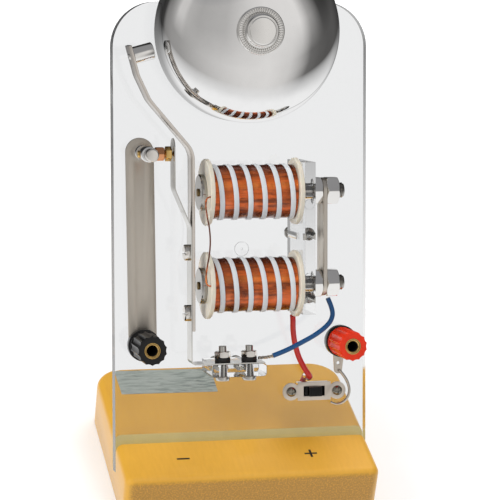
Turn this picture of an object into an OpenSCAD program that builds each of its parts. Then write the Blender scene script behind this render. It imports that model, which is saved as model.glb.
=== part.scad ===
// Electric bell demonstrator: a trembler bell laid out on a clear panel that leans back in a wooden base.
// World frame: origin at the centre of the base's underside, +X right, +Y to the back, +Z up.
// Panel frame (inside on_panel): x across the panel, y up the panel, z out of its front face.

/* [Base] */
// Width of the wooden base
base_w = 100; // [90:1:130]
// Depth of the wooden base
base_d = 80; // [70:1:110]
// Thickness of the wooden base
base_h = 20; // [17:1:30]
// Rounding along the top edges of the base
base_edge_r = 3; // [1:0.5:4]
// Plan radius of the two rear corners
rear_corner_r = 12; // [5:1:20]
// Plan radius of the two front corners
front_corner_r = 4; // [4:1:10]
// Distance from the base's front edge to the panel's face
front_land = 25; // [20:1:32]
// Depth of the groove that holds the panel, measured along the panel
groove_depth = 11; // [8:0.5:13]
// Gap between the panel and each wall of the groove
groove_gap = 0.2; // [0.1:0.05:0.5]

/* [Panel] */
// Angle by which the panel leans back
panel_lean = 25; // [10:1:28]
// Height of the panel above the base's top, along the panel
panel_above = 169.8; // [165:1:190]
// Thickness of the clear panel
panel_t = 6; // [4:0.5:8]
// Radius of the panel's top corners
panel_corner_r = 17.5; // [8:0.5:25]
// Radius of the small round moulding mark in the middle
gate_mark_r = 2.9; // [2:0.1:4]

/* [Gong] */
// Outer diameter of the gong at its rim
gong_d = 69.5; // [66:0.5:72]
// Height of the gong's straight skirt
gong_skirt_h = 10; // [6:0.5:12]
// Rise of the gong's crown above the skirt
gong_crown_h = 18; // [14:0.5:20]
// Roundness of the crown's shoulder: 2 is an ellipse and more is squarer
gong_shape = 2.4; // [2:0.1:3]
// Wall thickness of the gong
gong_wall = 1.2; // [0.8:0.1:2]
// Distance from the panel to the gong's rim
gong_standoff = 4; // [3:0.5:6]
// Height of the gong's centre on the panel
gong_v = 158.5; // [156.5:0.5:160.5]
// Diameter of the pillar that carries the gong
gong_pillar_d = 9; // [8:0.5:14]
// Diameter of the bolt through pillar and gong
gong_bolt_d = 4; // [3:0.5:6]
// Diameter of the round cap nut on the gong
cap_nut_d = 18; // [14:0.2:20]
// Diameter of the raised disc on the cap nut
cap_nut_disc_d = 10.2; // [8:0.2:12]
// Height of the cap nut
cap_nut_h = 4.6; // [4:0.1:6]

/* [Coils] */
// Distance of the coil axes from the panel's face
coil_n = 16; // [15:0.5:20]
// Height on the panel midway between the two coils
coil_mid_v = 80; // [76:0.5:84]
// Distance between the two coil axes
coil_pitch = 35.4; // [34:0.2:40]
// Overall length of a bobbin
bobbin_l = 36.6; // [30:0.2:38]
// Diameter of a bobbin's flanges
flange_d = 25.4; // [22:0.2:28]
// Thickness of a bobbin's flange
flange_t = 1.9; // [1.2:0.1:3]
// Diameter of a bobbin's barrel
barrel_d = 11; // [9:0.5:13]
// Outer diameter of the copper winding
winding_d = 20.4; // [17:0.2:21]
// Diameter of one modelled turn of the winding
turn_d = 1.7; // [1:0.1:2]
// Number of modelled turns in a winding's outer layer
turns = 11; // [6:1:12]
// Width of the white tape spiralled over a winding
tape_w = 1.9; // [1:0.1:3]
// Thickness of that tape
tape_t = 0.3; // [0.2:0.05:0.5]
// Turns of tape on one winding
tape_turns = 5.6; // [3:0.1:6]
// Diameter of the iron core and of its threaded end
core_d = 6; // [4:0.5:7]
// Diameter of the pole piece at the core's left end
pole_d = 13.8; // [11:0.2:16]
// Thickness of the pole piece
pole_t = 2.1; // [1:0.1:3]
// Height of the brass pin that keeps the armature off the pole
pole_pin_h = 0.55; // [0.3:0.05:0.8]

/* [Coil bracket] */
// Thickness of the clear upright that carries both coils
bracket_t = 5; // [4:0.5:7]
// Length of the upright along the panel
bracket_l = 58; // [54:1:66]
// How far the upright stands out of the panel
bracket_n = 24; // [22:0.5:28]
// Width of the yoke strip that joins the two cores
yoke_w = 10; // [9:0.5:14]
// Thickness of the yoke strip
yoke_t = 1.5; // [1:0.1:3]
// Width across flats of the core nuts
core_nut_af = 10; // [9:0.5:11]
// Thickness of the inner core nuts
inner_nut_t = 4; // [3:0.5:6]
// Thickness of the outer core nuts
outer_nut_t = 5; // [3:0.5:6]
// Length of thread that shows past the outer nuts
core_end = 2.4; // [1:0.1:5]

/* [Armature] */
// Width of the armature strip, out of the panel
strip_w = 8; // [6:0.5:9]
// Thickness of the armature strip
strip_t = 1.2; // [0.8:0.1:1.5]
// Air gap between the armature and the brass pole pins
air_gap = 1.55; // [1.5:0.05:2]
// Height on the panel of the armature's lower end
armature_foot_v = 45.3; // [43:0.1:46]
// Thickness of the leaf spring
leaf_t = 0.4; // [0.2:0.05:0.6]
// Height on the panel of the point where the leaf bends
leaf_bend_v = 39; // [37:0.5:41]
// Height on the panel of the leaf's free top end
leaf_top_v = 118.4; // [116:0.2:121]
// Distance of the contact arm of the leaf from the armature
leaf_offset = 6.2; // [4:0.1:7]
// Diameter of the hammer
hammer_d = 6.5; // [5:0.1:8]
// Length of the hammer
hammer_l = 8; // [7:0.1:8.6]

/* [Contact] */
// Distance of the contact post from the panel's middle
post_u = 40; // [38:0.5:42]
// Height of the contact post on the panel
post_v = 112.5; // [111:0.1:114]
// Diameter of the contact post
post_d = 6; // [5:0.1:8]
// Length of the contact post above the link strip
post_l = 20; // [18.5:0.5:24]
// Diameter of the contact screw
contact_d = 2.9; // [2:0.1:3.5]
// Width of the link strip behind the post
link_w = 11; // [8:0.5:12]
// Thickness of the link strip
link_t = 1; // [0.5:0.1:1.5]

/* [Terminals] */
// Distance of each terminal from the panel's middle
terminal_u = 39.2; // [38:0.1:41]
// Height of the terminals on the panel
terminal_v = 38.5; // [36:0.1:42]
// Diameter of a terminal's plastic cap
cap_d = 11.4; // [10:0.1:12]
// Length of a terminal's plastic cap
cap_l = 16.3; // [13:0.1:18]
// Number of grip flutes round a cap
flutes = 14; // [12:1:18]
// Diameter of the insulating collar under a cap
collar_d = 12.4; // [11:0.1:14]
// Outer diameter of the threaded terminal stem
stem_d = 5.4; // [5.2:0.1:6]
// Bore of the socket in the end of the stem
socket_d = 4; // [3.9:0.05:4.2]
// Depth of the socket
socket_depth = 12; // [8:0.5:13]

/* [Spring bracket] */
// Left end of the clear shelf that carries the leaf spring
shelf_u = -15.8; // [-18:0.1:-14.5]
// Length of the shelf
shelf_l = 21; // [18:0.5:26]
// Thickness of the shelf
shelf_t = 5; // [3:0.5:7]
// Height of the shelf's top on the panel
shelf_v = 32.4; // [31:0.1:34]
// Distance between the two clamp bolts
clamp_pitch = 10.4; // [8:0.2:14]
// Diameter of the small bolts and screws
small_bolt_d = 3; // [2.5:0.1:3.5]

/* [Switch] */
// Distance of the switch from the panel's middle
switch_u = 29; // [26:0.5:30]
// Height of the switch on the panel
switch_v = 18; // [16:0.5:19]
// Distance between the two switch screws
switch_pitch = 18.6; // [17:0.1:22]
// Height of the switch plate
switch_plate_h = 7.3; // [6:0.1:9]
// Length of the slot in the switch plate
switch_slot_l = 8.4; // [7:0.1:9]
// Length of the sliding knob
knob_l = 5; // [3:0.1:6]

/* [Leads] */
// Diameter of the blue lead
blue_d = 1.9; // [1.5:0.1:2.4]
// Diameter of the red lead
red_d = 2.2; // [1.5:0.1:2.6]
// Diameter of the enamelled wire between the coils
coil_wire_d = 0.6; // [0.4:0.1:0.8]

/* [Hidden] */
$fn = 48;

slack = 0.05;            // clearance of a bolt or pin in its hole
cut = 1;                 // how far a cutting solid runs past the surface it cuts
face_y = -base_d / 2 + front_land;

gate_mark_v = 74.5;
gate_mark_depth = 0.3;
gong_steps = 18;         // steps round the gong's shoulder and crown
gong_crown_n = gong_standoff + gong_skirt_h + gong_crown_h;
panel_washer_t = 0.8;
panel_washer_d = 9;      // washers behind the panel

coil_vs = [coil_mid_v + coil_pitch / 2, coil_mid_v - coil_pitch / 2];
bobbin_end = bobbin_l / 2;
winding_l = bobbin_l - 2 * flange_t;
turn_path_r = winding_d / 2 - turn_d / 2;
winding_core_r = turn_path_r - turn_d / 2 - slack;
tape_r = winding_d / 2 + 0.12;
wire_hole_r = flange_d / 2 - 1.1;
pole_face_u = -bobbin_end - pole_t;
pin_face_u = pole_face_u - pole_pin_h;
bracket_u = bobbin_end + slack;
yoke_u = bracket_u + bracket_t + inner_nut_t;
core_end_u = yoke_u + yoke_t + outer_nut_t + core_end;

arm_u = pin_face_u - air_gap - strip_t / 2;
leaf_u = arm_u - strip_t / 2 - leaf_t / 2;
contact_u = leaf_u - leaf_offset;
arm_past_rim = 12.15;     // from the gong's rim out to the arm's end
arm_end = [-gong_d / 2 - arm_past_rim, gong_v - 5.3];
arm_bend_v = 113.4;
arm_route = [[arm_u, armature_foot_v], [arm_u, arm_bend_v], arm_end + [7.4, -20.5], arm_end + [3, -11.2],
    arm_end];
arm_bend_r = [0, 9, 10, 10, 0];
hammer_back = 4.2;       // from the arm's end down to the hammer's axis
armature_screw_vs = [75, 52];
leaf_split_gap = 0.1;    // between the swinging and the clamped part of the leaf
leaf_kink_v = 84.8;
leaf_straight_v = 99.2;

clamp_us = [shelf_u + 4.6, shelf_u + 4.6 + clamp_pitch];
shelf_screw_us = [shelf_u + 6.2, shelf_u + 6.2 + 0.8 * clamp_pitch];
shelf_screw_into = 10;
back_screw_d = 2.5;      // screws driven from behind the panel
back_head_t = 1.8;
bracket_screw_pitch = 24.5;
bracket_screw_vs = [coil_mid_v, coil_mid_v - bracket_screw_pitch];
bracket_screw_into = 12;
boss_above = 13;         // two moulding bosses on the bracket's front edge
boss_below = 15;
boss_vs = [coil_mid_v + boss_above, coil_mid_v - boss_below];
boss_d = 3.8;
boss_h = 0.5;
shelf_n = coil_n + strip_w / 2;
washer_t = 1.8;
clamp_nut_t = 2.4;
clamp_nut_af = 5.5;
clamp_end = 2;

contact_tip_u = contact_u - leaf_t / 2 - slack;
post_nut_t = 3.2;
lock_nut_t = 3.2;
contact_head_t = 2.3;
contact_head_gap = 0.6;
contact_point_l = 0.5;   // length of the conical point
contact_head_u = contact_tip_u - contact_point_l - contact_head_t;
contact_af = 5;          // across flats of the contact screw's head and of its lock nut
contact_back = 0.7;      // how far the screw shows at the left of the post

collar_n = 4;            // level of both collars' outer faces
cap_n = collar_n + 0.2;
cap_end_n = cap_n + cap_l;
bush_wall = 0.35;
terminal_shank_d = 4;
terminal_nut_af = 7;
shank_end = 1.2;         // thread past a nut behind the panel
back_stack = panel_t + panel_washer_t + post_nut_t + shank_end;
lug_t = 0.6;

plate_t = 0.6;
switch_can_w = 12.7;
switch_can_h = 6.4;
can_wall = 0.5;
can_depth = 5;
block_depth = 7.6;
tag_l = 3.4;
knob_n = 3;
slider_gap = 0.1;

red_exit = [27, 23.7];   // hole through which the red lead goes behind the panel

// Routes of the leads, in the panel frame, by hand
blue_route = [[30.3, 56.2, 16], [31.6, 53, 16], [32.2, 50, 16], [31.3, 47.2, 16], [28.8, 44.6, 16],
    [25, 42, 16], [19.6, 39.2, 16], [14, 36.6, 16], [8.6, 34.6, 16]];
blue_tail_route = [[9.6, 35, 16], [8, 34.4, 16], [5.5, 34.1, 16.2], [2.8, 34, 16]];
red_route = [[17.4, 49.4, 12], [17.8, 47.4, 10.8], [18.6, 43, 8], [20, 37.5, 5.4], [22, 32, 3.8],
    [24.4, 27.4, 3.4], [26.2, 24.8, 2.8], [26.9, 23.8, 1.2], [27, 23.7, -1], [27, 23.7, -3.6],
    [27, 23.7, -6.4], [26.8, 22.3, -9], [26.2, 20.3, -10]];
coil_wire_route = [[-15.9, 96.7, 27.6], [-17.4, 96.7, 27.6], [-19, 96.6, 27.7], [-19.9, 95.4, 27.6],
    [-19.9, 93, 27.2],
    [-19.2, 89, 26.4], [-18.2, 84.6, 25.4], [-17.8, 80, 25], [-18.2, 75.4, 25.4], [-19.2, 71, 26.4],
    [-19.9, 67, 27.2], [-19.9, 64.6, 27.6], [-19, 63.4, 27.7], [-17.4, 63.3, 27.6], [-15.9, 63.3, 27.6]];
lug_wire_route = [[38.9, 26, 1.2], [40.3, 24.4, 1.3], [42.1, 21.6, 1.4], [43, 18.2, 1.4], [42.3, 15.2, 1.4],
    [40.2, 13.2, 1.3], [37.7, 12.6, 1.2], [35.4, 13.4, 1.1]];
lug_wire_d = 1.1;

// ---- placing and shaping helpers ----
module on_panel() translate([0, face_y, base_h]) rotate([90 - panel_lean, 0, 0]) children();
module along_u() rotate([0, 90, 0]) children();
module along_v() rotate([-90, 0, 0]) children();
// A six-sided blank whose corners are turned off at both ends
module hex(af, h) intersection() {
    cylinder(d = af / cos(30), h = h, $fn = 6);
    rotate_extrude() polygon([[0, 0], [af * 0.48, 0], [af * 0.6, af * 0.07], [af * 0.6, h - af * 0.07],
        [af * 0.48, h], [0, h]]);
}
module bored_hex(af, h, bore) difference() {
    hex(af, h);
    translate([0, 0, -cut]) cylinder(d = bore, h = h + 2 * cut);
}
module ring(d, bore, h) difference() {
    cylinder(d = d, h = h);
    translate([0, 0, -cut]) cylinder(d = bore, h = h + 2 * cut);
}

function unit(v) = v / norm(v);
function flat(lists) = [for (l = lists) for (x = l) x];
// Direction of a path at point i
function heading(p, i) = unit(p[min(i + 1, len(p) - 1)] - p[max(i - 1, 0)]);
// Points that round the corner at b of the path a-b-c with radius r, from one tangent point to the other
function turn_angle(a, b, c) = acos(max(-1, min(1, unit(b - a) * unit(c - b))));
function corner(a, b, c, r, steps) =
    let (t = turn_angle(a, b, c), back = r * tan(t / 2), d1 = unit(b - a), d2 = unit(c - b),
        p1 = b - d1 * back, side = unit(d2 - d1 * (d1 * d2)), o = p1 + side * r)
    [for (i = [0:steps]) let (w = t * i / steps) o - side * (r * cos(w)) + d1 * (r * sin(w))];
function rounded_route(p, radii, steps) = flat([for (i = [0:len(p) - 1])
    radii[i] > 0 ? corner(p[i - 1], p[i], p[i + 1], radii[i], steps) : [p[i]]]);
// Outline of a strip of thickness t that follows a flat route
function strip_side(p, off) = [for (i = [0:len(p) - 1]) let (h = heading(p, i)) p[i] + [-h[1], h[0]] * off];
function reversed(l) = [for (i = [len(l) - 1:-1:0]) l[i]];
function strip_outline(p, t) = concat(strip_side(p, t / 2), reversed(strip_side(p, -t / 2)));
module bent_strip(p, t, w) translate([0, 0, coil_n - w / 2]) linear_extrude(w) polygon(strip_outline(p, t));

// A round tube swept along points p
function ring_at(p, i, r, sides, ref) =
    let (h = heading(p, i), a = unit(cross(h, ref)), b = cross(h, a))
    [for (s = [0:sides - 1]) p[i] + r * (cos(360 * s / sides) * a + sin(360 * s / sides) * b)];
function tube_faces(rings, sides) = concat(
    [for (i = [0:rings - 2]) for (s = [0:sides - 1]) let (t = (s + 1) % sides)
        for (f = [[i * sides + s, (i + 1) * sides + t, i * sides + t],
                  [i * sides + s, (i + 1) * sides + s, (i + 1) * sides + t]]) f],
    [for (s = [1:sides - 2]) [0, s, s + 1]],
    [for (s = [1:sides - 2]) let (e = (rings - 1) * sides) [e, e + s + 1, e + s]]);
module tube(p, d, sides = 8, ref = [0, 0, 1]) polyhedron(
    points = flat([for (i = [0:len(p) - 1]) ring_at(p, i, d / 2, sides, ref)]),
    faces = tube_faces(len(p), sides), convexity = 6);
// A smooth curve through the hand-chosen points
function blend4(a, b, c, d, t) = 0.5 * ((2 * b) + (c - a) * t + (2 * a - 5 * b + 4 * c - d) * t * t
    + (3 * b - a - 3 * c + d) * t * t * t);
function smooth_route(p, n) = concat(flat([for (i = [0:len(p) - 2]) [for (k = [0:n - 1])
    blend4(p[max(i - 1, 0)], p[i], p[i + 1], p[min(i + 2, len(p) - 1)], k / n)]]), [p[len(p) - 1]]);

// ---- base and panel ----
module base_corner(x, y, r) translate([x, y, 0]) {
    cylinder(r = r, h = base_h - base_edge_r, $fn = 32);
    translate([0, 0, base_h - base_edge_r]) rotate_extrude($fn = 32)
        intersection() {
            translate([r - base_edge_r, 0]) circle(base_edge_r, $fn = 32);
            square([r + cut, base_edge_r + cut]);
        }
}
module wooden_base() color([0.86, 0.66, 0.27]) difference() {
    hull() {
        for (side = [-1, 1]) {
            base_corner(side * (base_w / 2 - rear_corner_r), base_d / 2 - rear_corner_r, rear_corner_r);
            base_corner(side * (base_w / 2 - front_corner_r), front_corner_r - base_d / 2, front_corner_r);
        }
    }
    on_panel() translate([-base_w, -groove_depth, -panel_t - groove_gap])
        cube([2 * base_w, groove_depth + base_h, panel_t + 2 * groove_gap]);
}

module panel_outline() {
    translate([-base_w / 2, -groove_depth]) square([base_w, groove_depth + panel_above - panel_corner_r]);
    translate([panel_corner_r - base_w / 2, 0]) square([base_w - 2 * panel_corner_r, panel_above]);
    for (side = [-1, 1]) translate([side * (base_w / 2 - panel_corner_r), panel_above - panel_corner_r])
        circle(panel_corner_r);
}
module panel_hole(u, v, d) translate([u, v]) circle(d = d + 2 * slack);
module clear_panel() color([0.9, 0.93, 0.95, 0.4]) on_panel() {
    difference() {
        translate([0, 0, -panel_t]) linear_extrude(panel_t) difference() {
            panel_outline();
            panel_hole(0, gong_v, gong_bolt_d);
            panel_hole(-post_u, post_v, terminal_shank_d);
            for (side = [-1, 1]) panel_hole(side * terminal_u, terminal_height(side), terminal_shank_d);
            for (side = [-1, 1]) panel_hole(switch_u + side * switch_pitch / 2, switch_v, 2);
            translate([switch_u - switch_can_w / 2 - slack, switch_v - switch_can_h / 2 - slack])
                square([switch_can_w + 2 * slack, switch_can_h + 2 * slack]);
            panel_hole(red_exit[0], red_exit[1], red_d + 0.6);
        }
        for (v = bracket_screw_vs) hole_from_behind(bracket_u + bracket_t / 2, v, cut);
        for (u = shelf_screw_us) hole_from_behind(u, shelf_v - shelf_t / 2, cut);
        translate([0, gate_mark_v, -gate_mark_depth]) cylinder(d = 0.9, h = cut);
        translate([0, gate_mark_v, -gate_mark_depth]) ring(2 * gate_mark_r, 2 * gate_mark_r - 0.5, cut);
    }
}

// ---- gong ----
// Outline of the gong's outside, or of its inside with an inset, as [radius, height] points
function gong_outline(inset) = concat([[gong_d / 2 - inset, 0]], [for (k = [0:gong_steps])
    let (a = 90 * k / gong_steps)
    [(gong_d / 2 - inset) * pow(cos(a), 2 / gong_shape),
        gong_skirt_h + (gong_crown_h - inset) * pow(sin(a), 2 / gong_shape)]]);
module gong_profile() difference() {
    polygon(concat([[0, 0]], gong_outline(0)));
    polygon(concat([[0, -cut], [gong_d / 2 - gong_wall, -cut]], gong_outline(gong_wall)));
    square([2 * (gong_bolt_d / 2 + slack), 4 * gong_crown_h], center = true);
}
module gong() color([0.8, 0.81, 0.82]) on_panel() translate([0, gong_v, gong_standoff])
    rotate_extrude($fn = 96) gong_profile();
module gong_pillar() color([0.75, 0.75, 0.74]) on_panel() translate([0, gong_v, 0])
    difference() {
        union() {
            cylinder(d = gong_pillar_d, h = gong_crown_n - gong_wall - 2 * slack);
            cylinder(d = gong_pillar_d + 4, h = 1.5);
        }
        translate([0, 0, -cut]) cylinder(d = gong_bolt_d + 2 * slack, h = gong_crown_n + 2 * cut);
    }
module gong_bolt() color([0.7, 0.7, 0.7]) on_panel() translate([0, gong_v, 0]) {
    translate([0, 0, -panel_t - panel_washer_t]) cylinder(d = gong_bolt_d, h = panel_t + panel_washer_t
        + gong_crown_n + cap_nut_h - 1.6);
    translate([0, 0, -panel_t - panel_washer_t - 2.8]) difference() {
        cylinder(d = 1.8 * gong_bolt_d, h = 2.8);
        translate([-gong_bolt_d, -0.5, -cut]) cube([2 * gong_bolt_d, 1, 1.2 + cut]);
    }
}
module gong_bolt_washer() color([0.7, 0.7, 0.7]) on_panel()
    translate([0, gong_v, -panel_t - panel_washer_t])
        ring(panel_washer_d, gong_bolt_d + 2 * slack, panel_washer_t);
module gong_cap_nut() color([0.82, 0.82, 0.83]) on_panel() translate([0, gong_v, gong_crown_n + slack])
    difference() {
        rotate_extrude($fn = 96) polygon([[0, 0], [cap_nut_d / 2 - 0.4, 0], [cap_nut_d / 2, 0.5],
            [cap_nut_d / 2, 1.3], [cap_nut_d / 2 - 0.5, 1.8], [cap_nut_disc_d / 2 + 1.9, 2.1],
            [cap_nut_disc_d / 2 + 0.9, cap_nut_h - 0.5], [cap_nut_disc_d / 2, cap_nut_h], [0, cap_nut_h]]);
        translate([0, 0, -cut]) cylinder(d = gong_bolt_d + 2 * slack, h = cut + cap_nut_h - 1.5);
    }

// ---- electromagnet ----
module at_coil(i) on_panel() translate([0, coil_vs[i], coil_n]) children();
module coil_bracket() color([0.88, 0.91, 0.93, 0.5]) on_panel() difference() {
    union() {
        translate([bracket_u, coil_mid_v - bracket_l / 2, 0]) cube([bracket_t, bracket_l, bracket_n]);
        for (v = boss_vs) translate([bracket_u + bracket_t / 2, v, bracket_n])
            cylinder(d = boss_d, h = boss_h);
    }
    for (v = coil_vs) translate([bracket_u - cut, v, coil_n]) along_u()
        cylinder(d = core_d + 2 * slack, h = bracket_t + 2 * cut);
    for (v = bracket_screw_vs) hole_from_behind(bracket_u + bracket_t / 2, v, bracket_screw_into);
}
// Slotted pan-head screws driven from behind the panel into a clear piece on its face
module screw_from_behind(u, v, into) on_panel() translate([u, v, -panel_t]) {
    cylinder(d = back_screw_d, h = panel_t + into);
    translate([0, 0, -back_head_t]) difference() {
        cylinder(d = 2 * back_screw_d, h = back_head_t);
        translate([-2 * back_screw_d, -0.4, -cut]) cube([4 * back_screw_d, 0.8, cut + back_head_t / 2]);
    }
}
module hole_from_behind(u, v, into) translate([u, v, -panel_t - cut])
    cylinder(d = back_screw_d + 2 * slack, h = panel_t + cut + into + slack);
module bracket_screws() color([0.7, 0.7, 0.7]) for (v = bracket_screw_vs)
    screw_from_behind(bracket_u + bracket_t / 2, v, bracket_screw_into);
module bobbin(i) color([0.9, 0.87, 0.79]) at_coil(i) difference() {
    along_u() translate([0, 0, -bobbin_end]) union() {
        cylinder(d = flange_d, h = flange_t);
        cylinder(d = barrel_d, h = bobbin_l);
        translate([0, 0, bobbin_l - flange_t]) cylinder(d = flange_d, h = flange_t);
    }
    translate([-bobbin_end - cut, 0, 0]) along_u() cylinder(d = core_d + 2 * slack, h = bobbin_l + 2 * cut);
    // pass hole for the enamelled wire in the left flange
    translate([-bobbin_end - cut, i == 0 ? -1 : 1, wire_hole_r]) along_u()
        cylinder(d = coil_wire_d + 0.5, h = flange_t + 2 * cut);
}
module bobbin_upper() bobbin(0);
module bobbin_lower() bobbin(1);

// Centre line of a winding's outer layer, round the z axis, with straight ends one turn's diameter long
winding_rings = 24;
function helix(r, l, n, rings) = [for (i = [0:n * rings]) let (a = 360 * i / rings)
    [r * cos(a), -r * sin(a), l * (i / (n * rings) - 0.5)]];
function straight_ends(p, d) = concat([p[0] - d * unit(p[1] - p[0])], p,
    [p[len(p) - 1] + d * unit(p[len(p) - 1] - p[len(p) - 2])]);
winding_path = helix(turn_path_r, winding_l - turn_d - 0.6, turns, winding_rings);
winding_gap = min([for (i = [0:len(winding_path) - 1 - winding_rings / 2])
    min([for (j = [i + winding_rings / 2:min(len(winding_path) - 1, i + 2 * winding_rings)])
        norm(winding_path[i] - winding_path[j])])]) - turn_d;
echo(str("least gap between turns of a winding: ", winding_gap, " mm"));
module winding(i) color([0.72, 0.34, 0.16]) at_coil(i) along_u() {
    difference() {
        cylinder(r = winding_core_r, h = winding_l - 2 * slack, center = true);
        cylinder(d = barrel_d + 2 * slack, h = bobbin_l, center = true);
    }
    tube(straight_ends(winding_path, turn_d), turn_d, sides = 6);
}
module winding_upper() winding(0);
module winding_lower() winding(1);

// A flat band wound as a helix, four corners to a section
tape_rings = 18;
function band_section(c, s, r, l) = [for (corner = [[0, -0.5], [1, -0.5], [1, 0.5], [0, 0.5]])
    [(r + corner[0] * tape_t) * c, -(r + corner[0] * tape_t) * s, l + corner[1] * tape_w]];
tape_steps = round(tape_turns * tape_rings);
tape_run = winding_l - tape_w - 2 * slack;
module tape(i) color([0.78, 0.81, 0.84]) at_coil(i) along_u() rotate([0, 0, 150]) polyhedron(
    points = flat([for (k = [0:tape_steps]) let (a = 360 * tape_turns * k / tape_steps)
        band_section(cos(a), sin(a), tape_r, tape_run * (k / tape_steps - 0.5))]),
    faces = tube_faces(tape_steps + 1, 4), convexity = 8);
module tape_upper() tape(0);
module tape_lower() tape(1);

module iron_core(i) color([0.62, 0.63, 0.64]) at_coil(i) {
    translate([pole_face_u, 0, 0]) along_u() cylinder(d = core_d, h = core_end_u - pole_face_u);
    translate([pole_face_u, 0, 0]) along_u() cylinder(d = pole_d, h = pole_t - slack);
}
module iron_core_upper() iron_core(0);
module iron_core_lower() iron_core(1);
module pole_pins() color([0.6, 0.5, 0.3]) for (i = [0, 1]) at_coil(i)
    translate([pin_face_u, 0, 0]) along_u() cylinder(d = 3, h = pole_pin_h);
module core_nuts(u, t) for (i = [0, 1]) at_coil(i) translate([u, 0, 0]) along_u()
    bored_hex(core_nut_af, t, core_d + 2 * slack);
module core_nuts_inner() color([0.75, 0.72, 0.66]) core_nuts(bracket_u + bracket_t, inner_nut_t);
module core_nuts_outer() color([0.75, 0.72, 0.66]) core_nuts(yoke_u + yoke_t, outer_nut_t);
module yoke_strip() color([0.7, 0.7, 0.7]) on_panel() difference() {
    translate([yoke_u, coil_mid_v, coil_n]) along_u() linear_extrude(yoke_t) {
        square([yoke_w, coil_pitch], center = true);
        for (side = [-1, 1]) translate([0, side * coil_pitch / 2]) circle(d = yoke_w);
    }
    for (v = coil_vs) translate([yoke_u - cut, v, coil_n]) along_u()
        cylinder(d = core_d + 2 * slack, h = yoke_t + 2 * cut);
}

// ---- armature, hammer and leaf spring ----
arm_path = rounded_route(arm_route, arm_bend_r, 8);
arm_end_dir = unit(arm_end - arm_route[len(arm_route) - 2]);
hammer_axis = [arm_end_dir[1], -arm_end_dir[0]];
hammer_seat = arm_end - arm_end_dir * hammer_back;
hammer_spigot_d = 2.4;
module at_hammer() translate([hammer_seat[0], hammer_seat[1], coil_n])
    rotate([0, 0, atan2(hammer_axis[1], hammer_axis[0])]) along_u() children();
module armature_arm() color([0.72, 0.71, 0.68]) on_panel() difference() {
    bent_strip(arm_path, strip_t, strip_w);
    at_hammer() translate([0, 0, -strip_t - cut])
        cylinder(d = hammer_spigot_d + 2 * slack, h = 2 * (strip_t + cut));
    for (v = armature_screw_vs) translate([arm_u - strip_t, v, coil_n]) along_u()
        cylinder(d = small_bolt_d + 2 * slack, h = 2 * strip_t);
}
module hammer() color([0.8, 0.8, 0.8]) on_panel() at_hammer() {
    translate([0, 0, strip_t / 2]) cylinder(d = hammer_d, h = hammer_l - 0.5);
    translate([0, 0, strip_t / 2 + hammer_l - 0.5]) cylinder(d1 = hammer_d, d2 = hammer_d - 1, h = 0.5);
    translate([0, 0, -strip_t / 2 - 0.4]) cylinder(d = hammer_spigot_d, h = strip_t + 1);
}
leaf_route = [[leaf_u, leaf_bend_v + leaf_split_gap / 2], [leaf_u, leaf_kink_v],
    [contact_u, leaf_straight_v], [contact_u, leaf_top_v]];
leaf_path = rounded_route(leaf_route, [0, 6, 6, 0], 5);
module contact_leaf() color([0.8, 0.8, 0.79]) on_panel() difference() {
    bent_strip(leaf_path, leaf_t, strip_w);
    for (v = armature_screw_vs) translate([leaf_u - leaf_t, v, coil_n]) along_u()
        cylinder(d = small_bolt_d + 2 * slack, h = 2 * leaf_t);
    // the free end is rounded
    translate([contact_u - cut, leaf_top_v - strip_w / 2, coil_n]) along_u() difference() {
        translate([-strip_w, 0, 0]) cube([2 * strip_w, strip_w, 2 * cut]);
        translate([0, 0, -cut]) cylinder(d = strip_w, h = 4 * cut);
    }
}
screw_head_d = 6.2;
screw_head_t = 2.1;
module cheese_head() difference() {
    union() {
        cylinder(d = screw_head_d, h = screw_head_t - 0.4);
        translate([0, 0, screw_head_t - 0.4]) cylinder(d1 = screw_head_d, d2 = screw_head_d - 0.8, h = 0.4);
    }
    translate([-screw_head_d, -0.4, screw_head_t - 0.9]) cube([2 * screw_head_d, 0.8, 2]);
}
module armature_screws() color([0.7, 0.7, 0.7]) on_panel() for (v = armature_screw_vs)
    translate([leaf_u - leaf_t / 2, v, coil_n]) {
        rotate([0, -90, 0]) cheese_head();
        along_u() cylinder(d = small_bolt_d, h = leaf_t + strip_t);
    }
foot_bend_r = 1.6;
foot_v = shelf_v + leaf_t / 2;
foot_route = [[leaf_u, leaf_bend_v - leaf_split_gap / 2], [leaf_u, foot_v],
    [shelf_u + shelf_l - 0.6, foot_v]];
module leaf_foot() color([0.8, 0.8, 0.79]) on_panel() difference() {
    bent_strip(rounded_route(foot_route, [0, foot_bend_r, 0], 6), leaf_t, strip_w);
    for (u = clamp_us) translate([u, foot_v - cut, coil_n]) along_v()
        cylinder(d = small_bolt_d + 2 * slack, h = 2 * cut);
}
module spring_shelf() color([0.88, 0.91, 0.93, 0.5]) on_panel() difference() {
    translate([0, shelf_v - shelf_t, 0]) linear_extrude(shelf_n) {
        translate([shelf_u, 0]) square([shelf_l - 1.3, shelf_t]);
        translate([shelf_u, 1.3]) square([shelf_l, shelf_t - 2.6]);
        for (y = [1.3, shelf_t - 1.3]) translate([shelf_u + shelf_l - 1.3, y]) circle(1.3);
    }
    for (u = clamp_us) translate([u, shelf_v - shelf_t - cut, coil_n]) along_v()
        cylinder(d = small_bolt_d + 2 * slack, h = shelf_t + 2 * cut);
    for (u = shelf_screw_us) hole_from_behind(u, shelf_v - shelf_t / 2, shelf_screw_into);
}
module shelf_screws() color([0.7, 0.7, 0.7]) for (u = shelf_screw_us)
    screw_from_behind(u, shelf_v - shelf_t / 2, shelf_screw_into);
stack_v = shelf_v + leaf_t;
bolt_head_t = 1.7;
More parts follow.
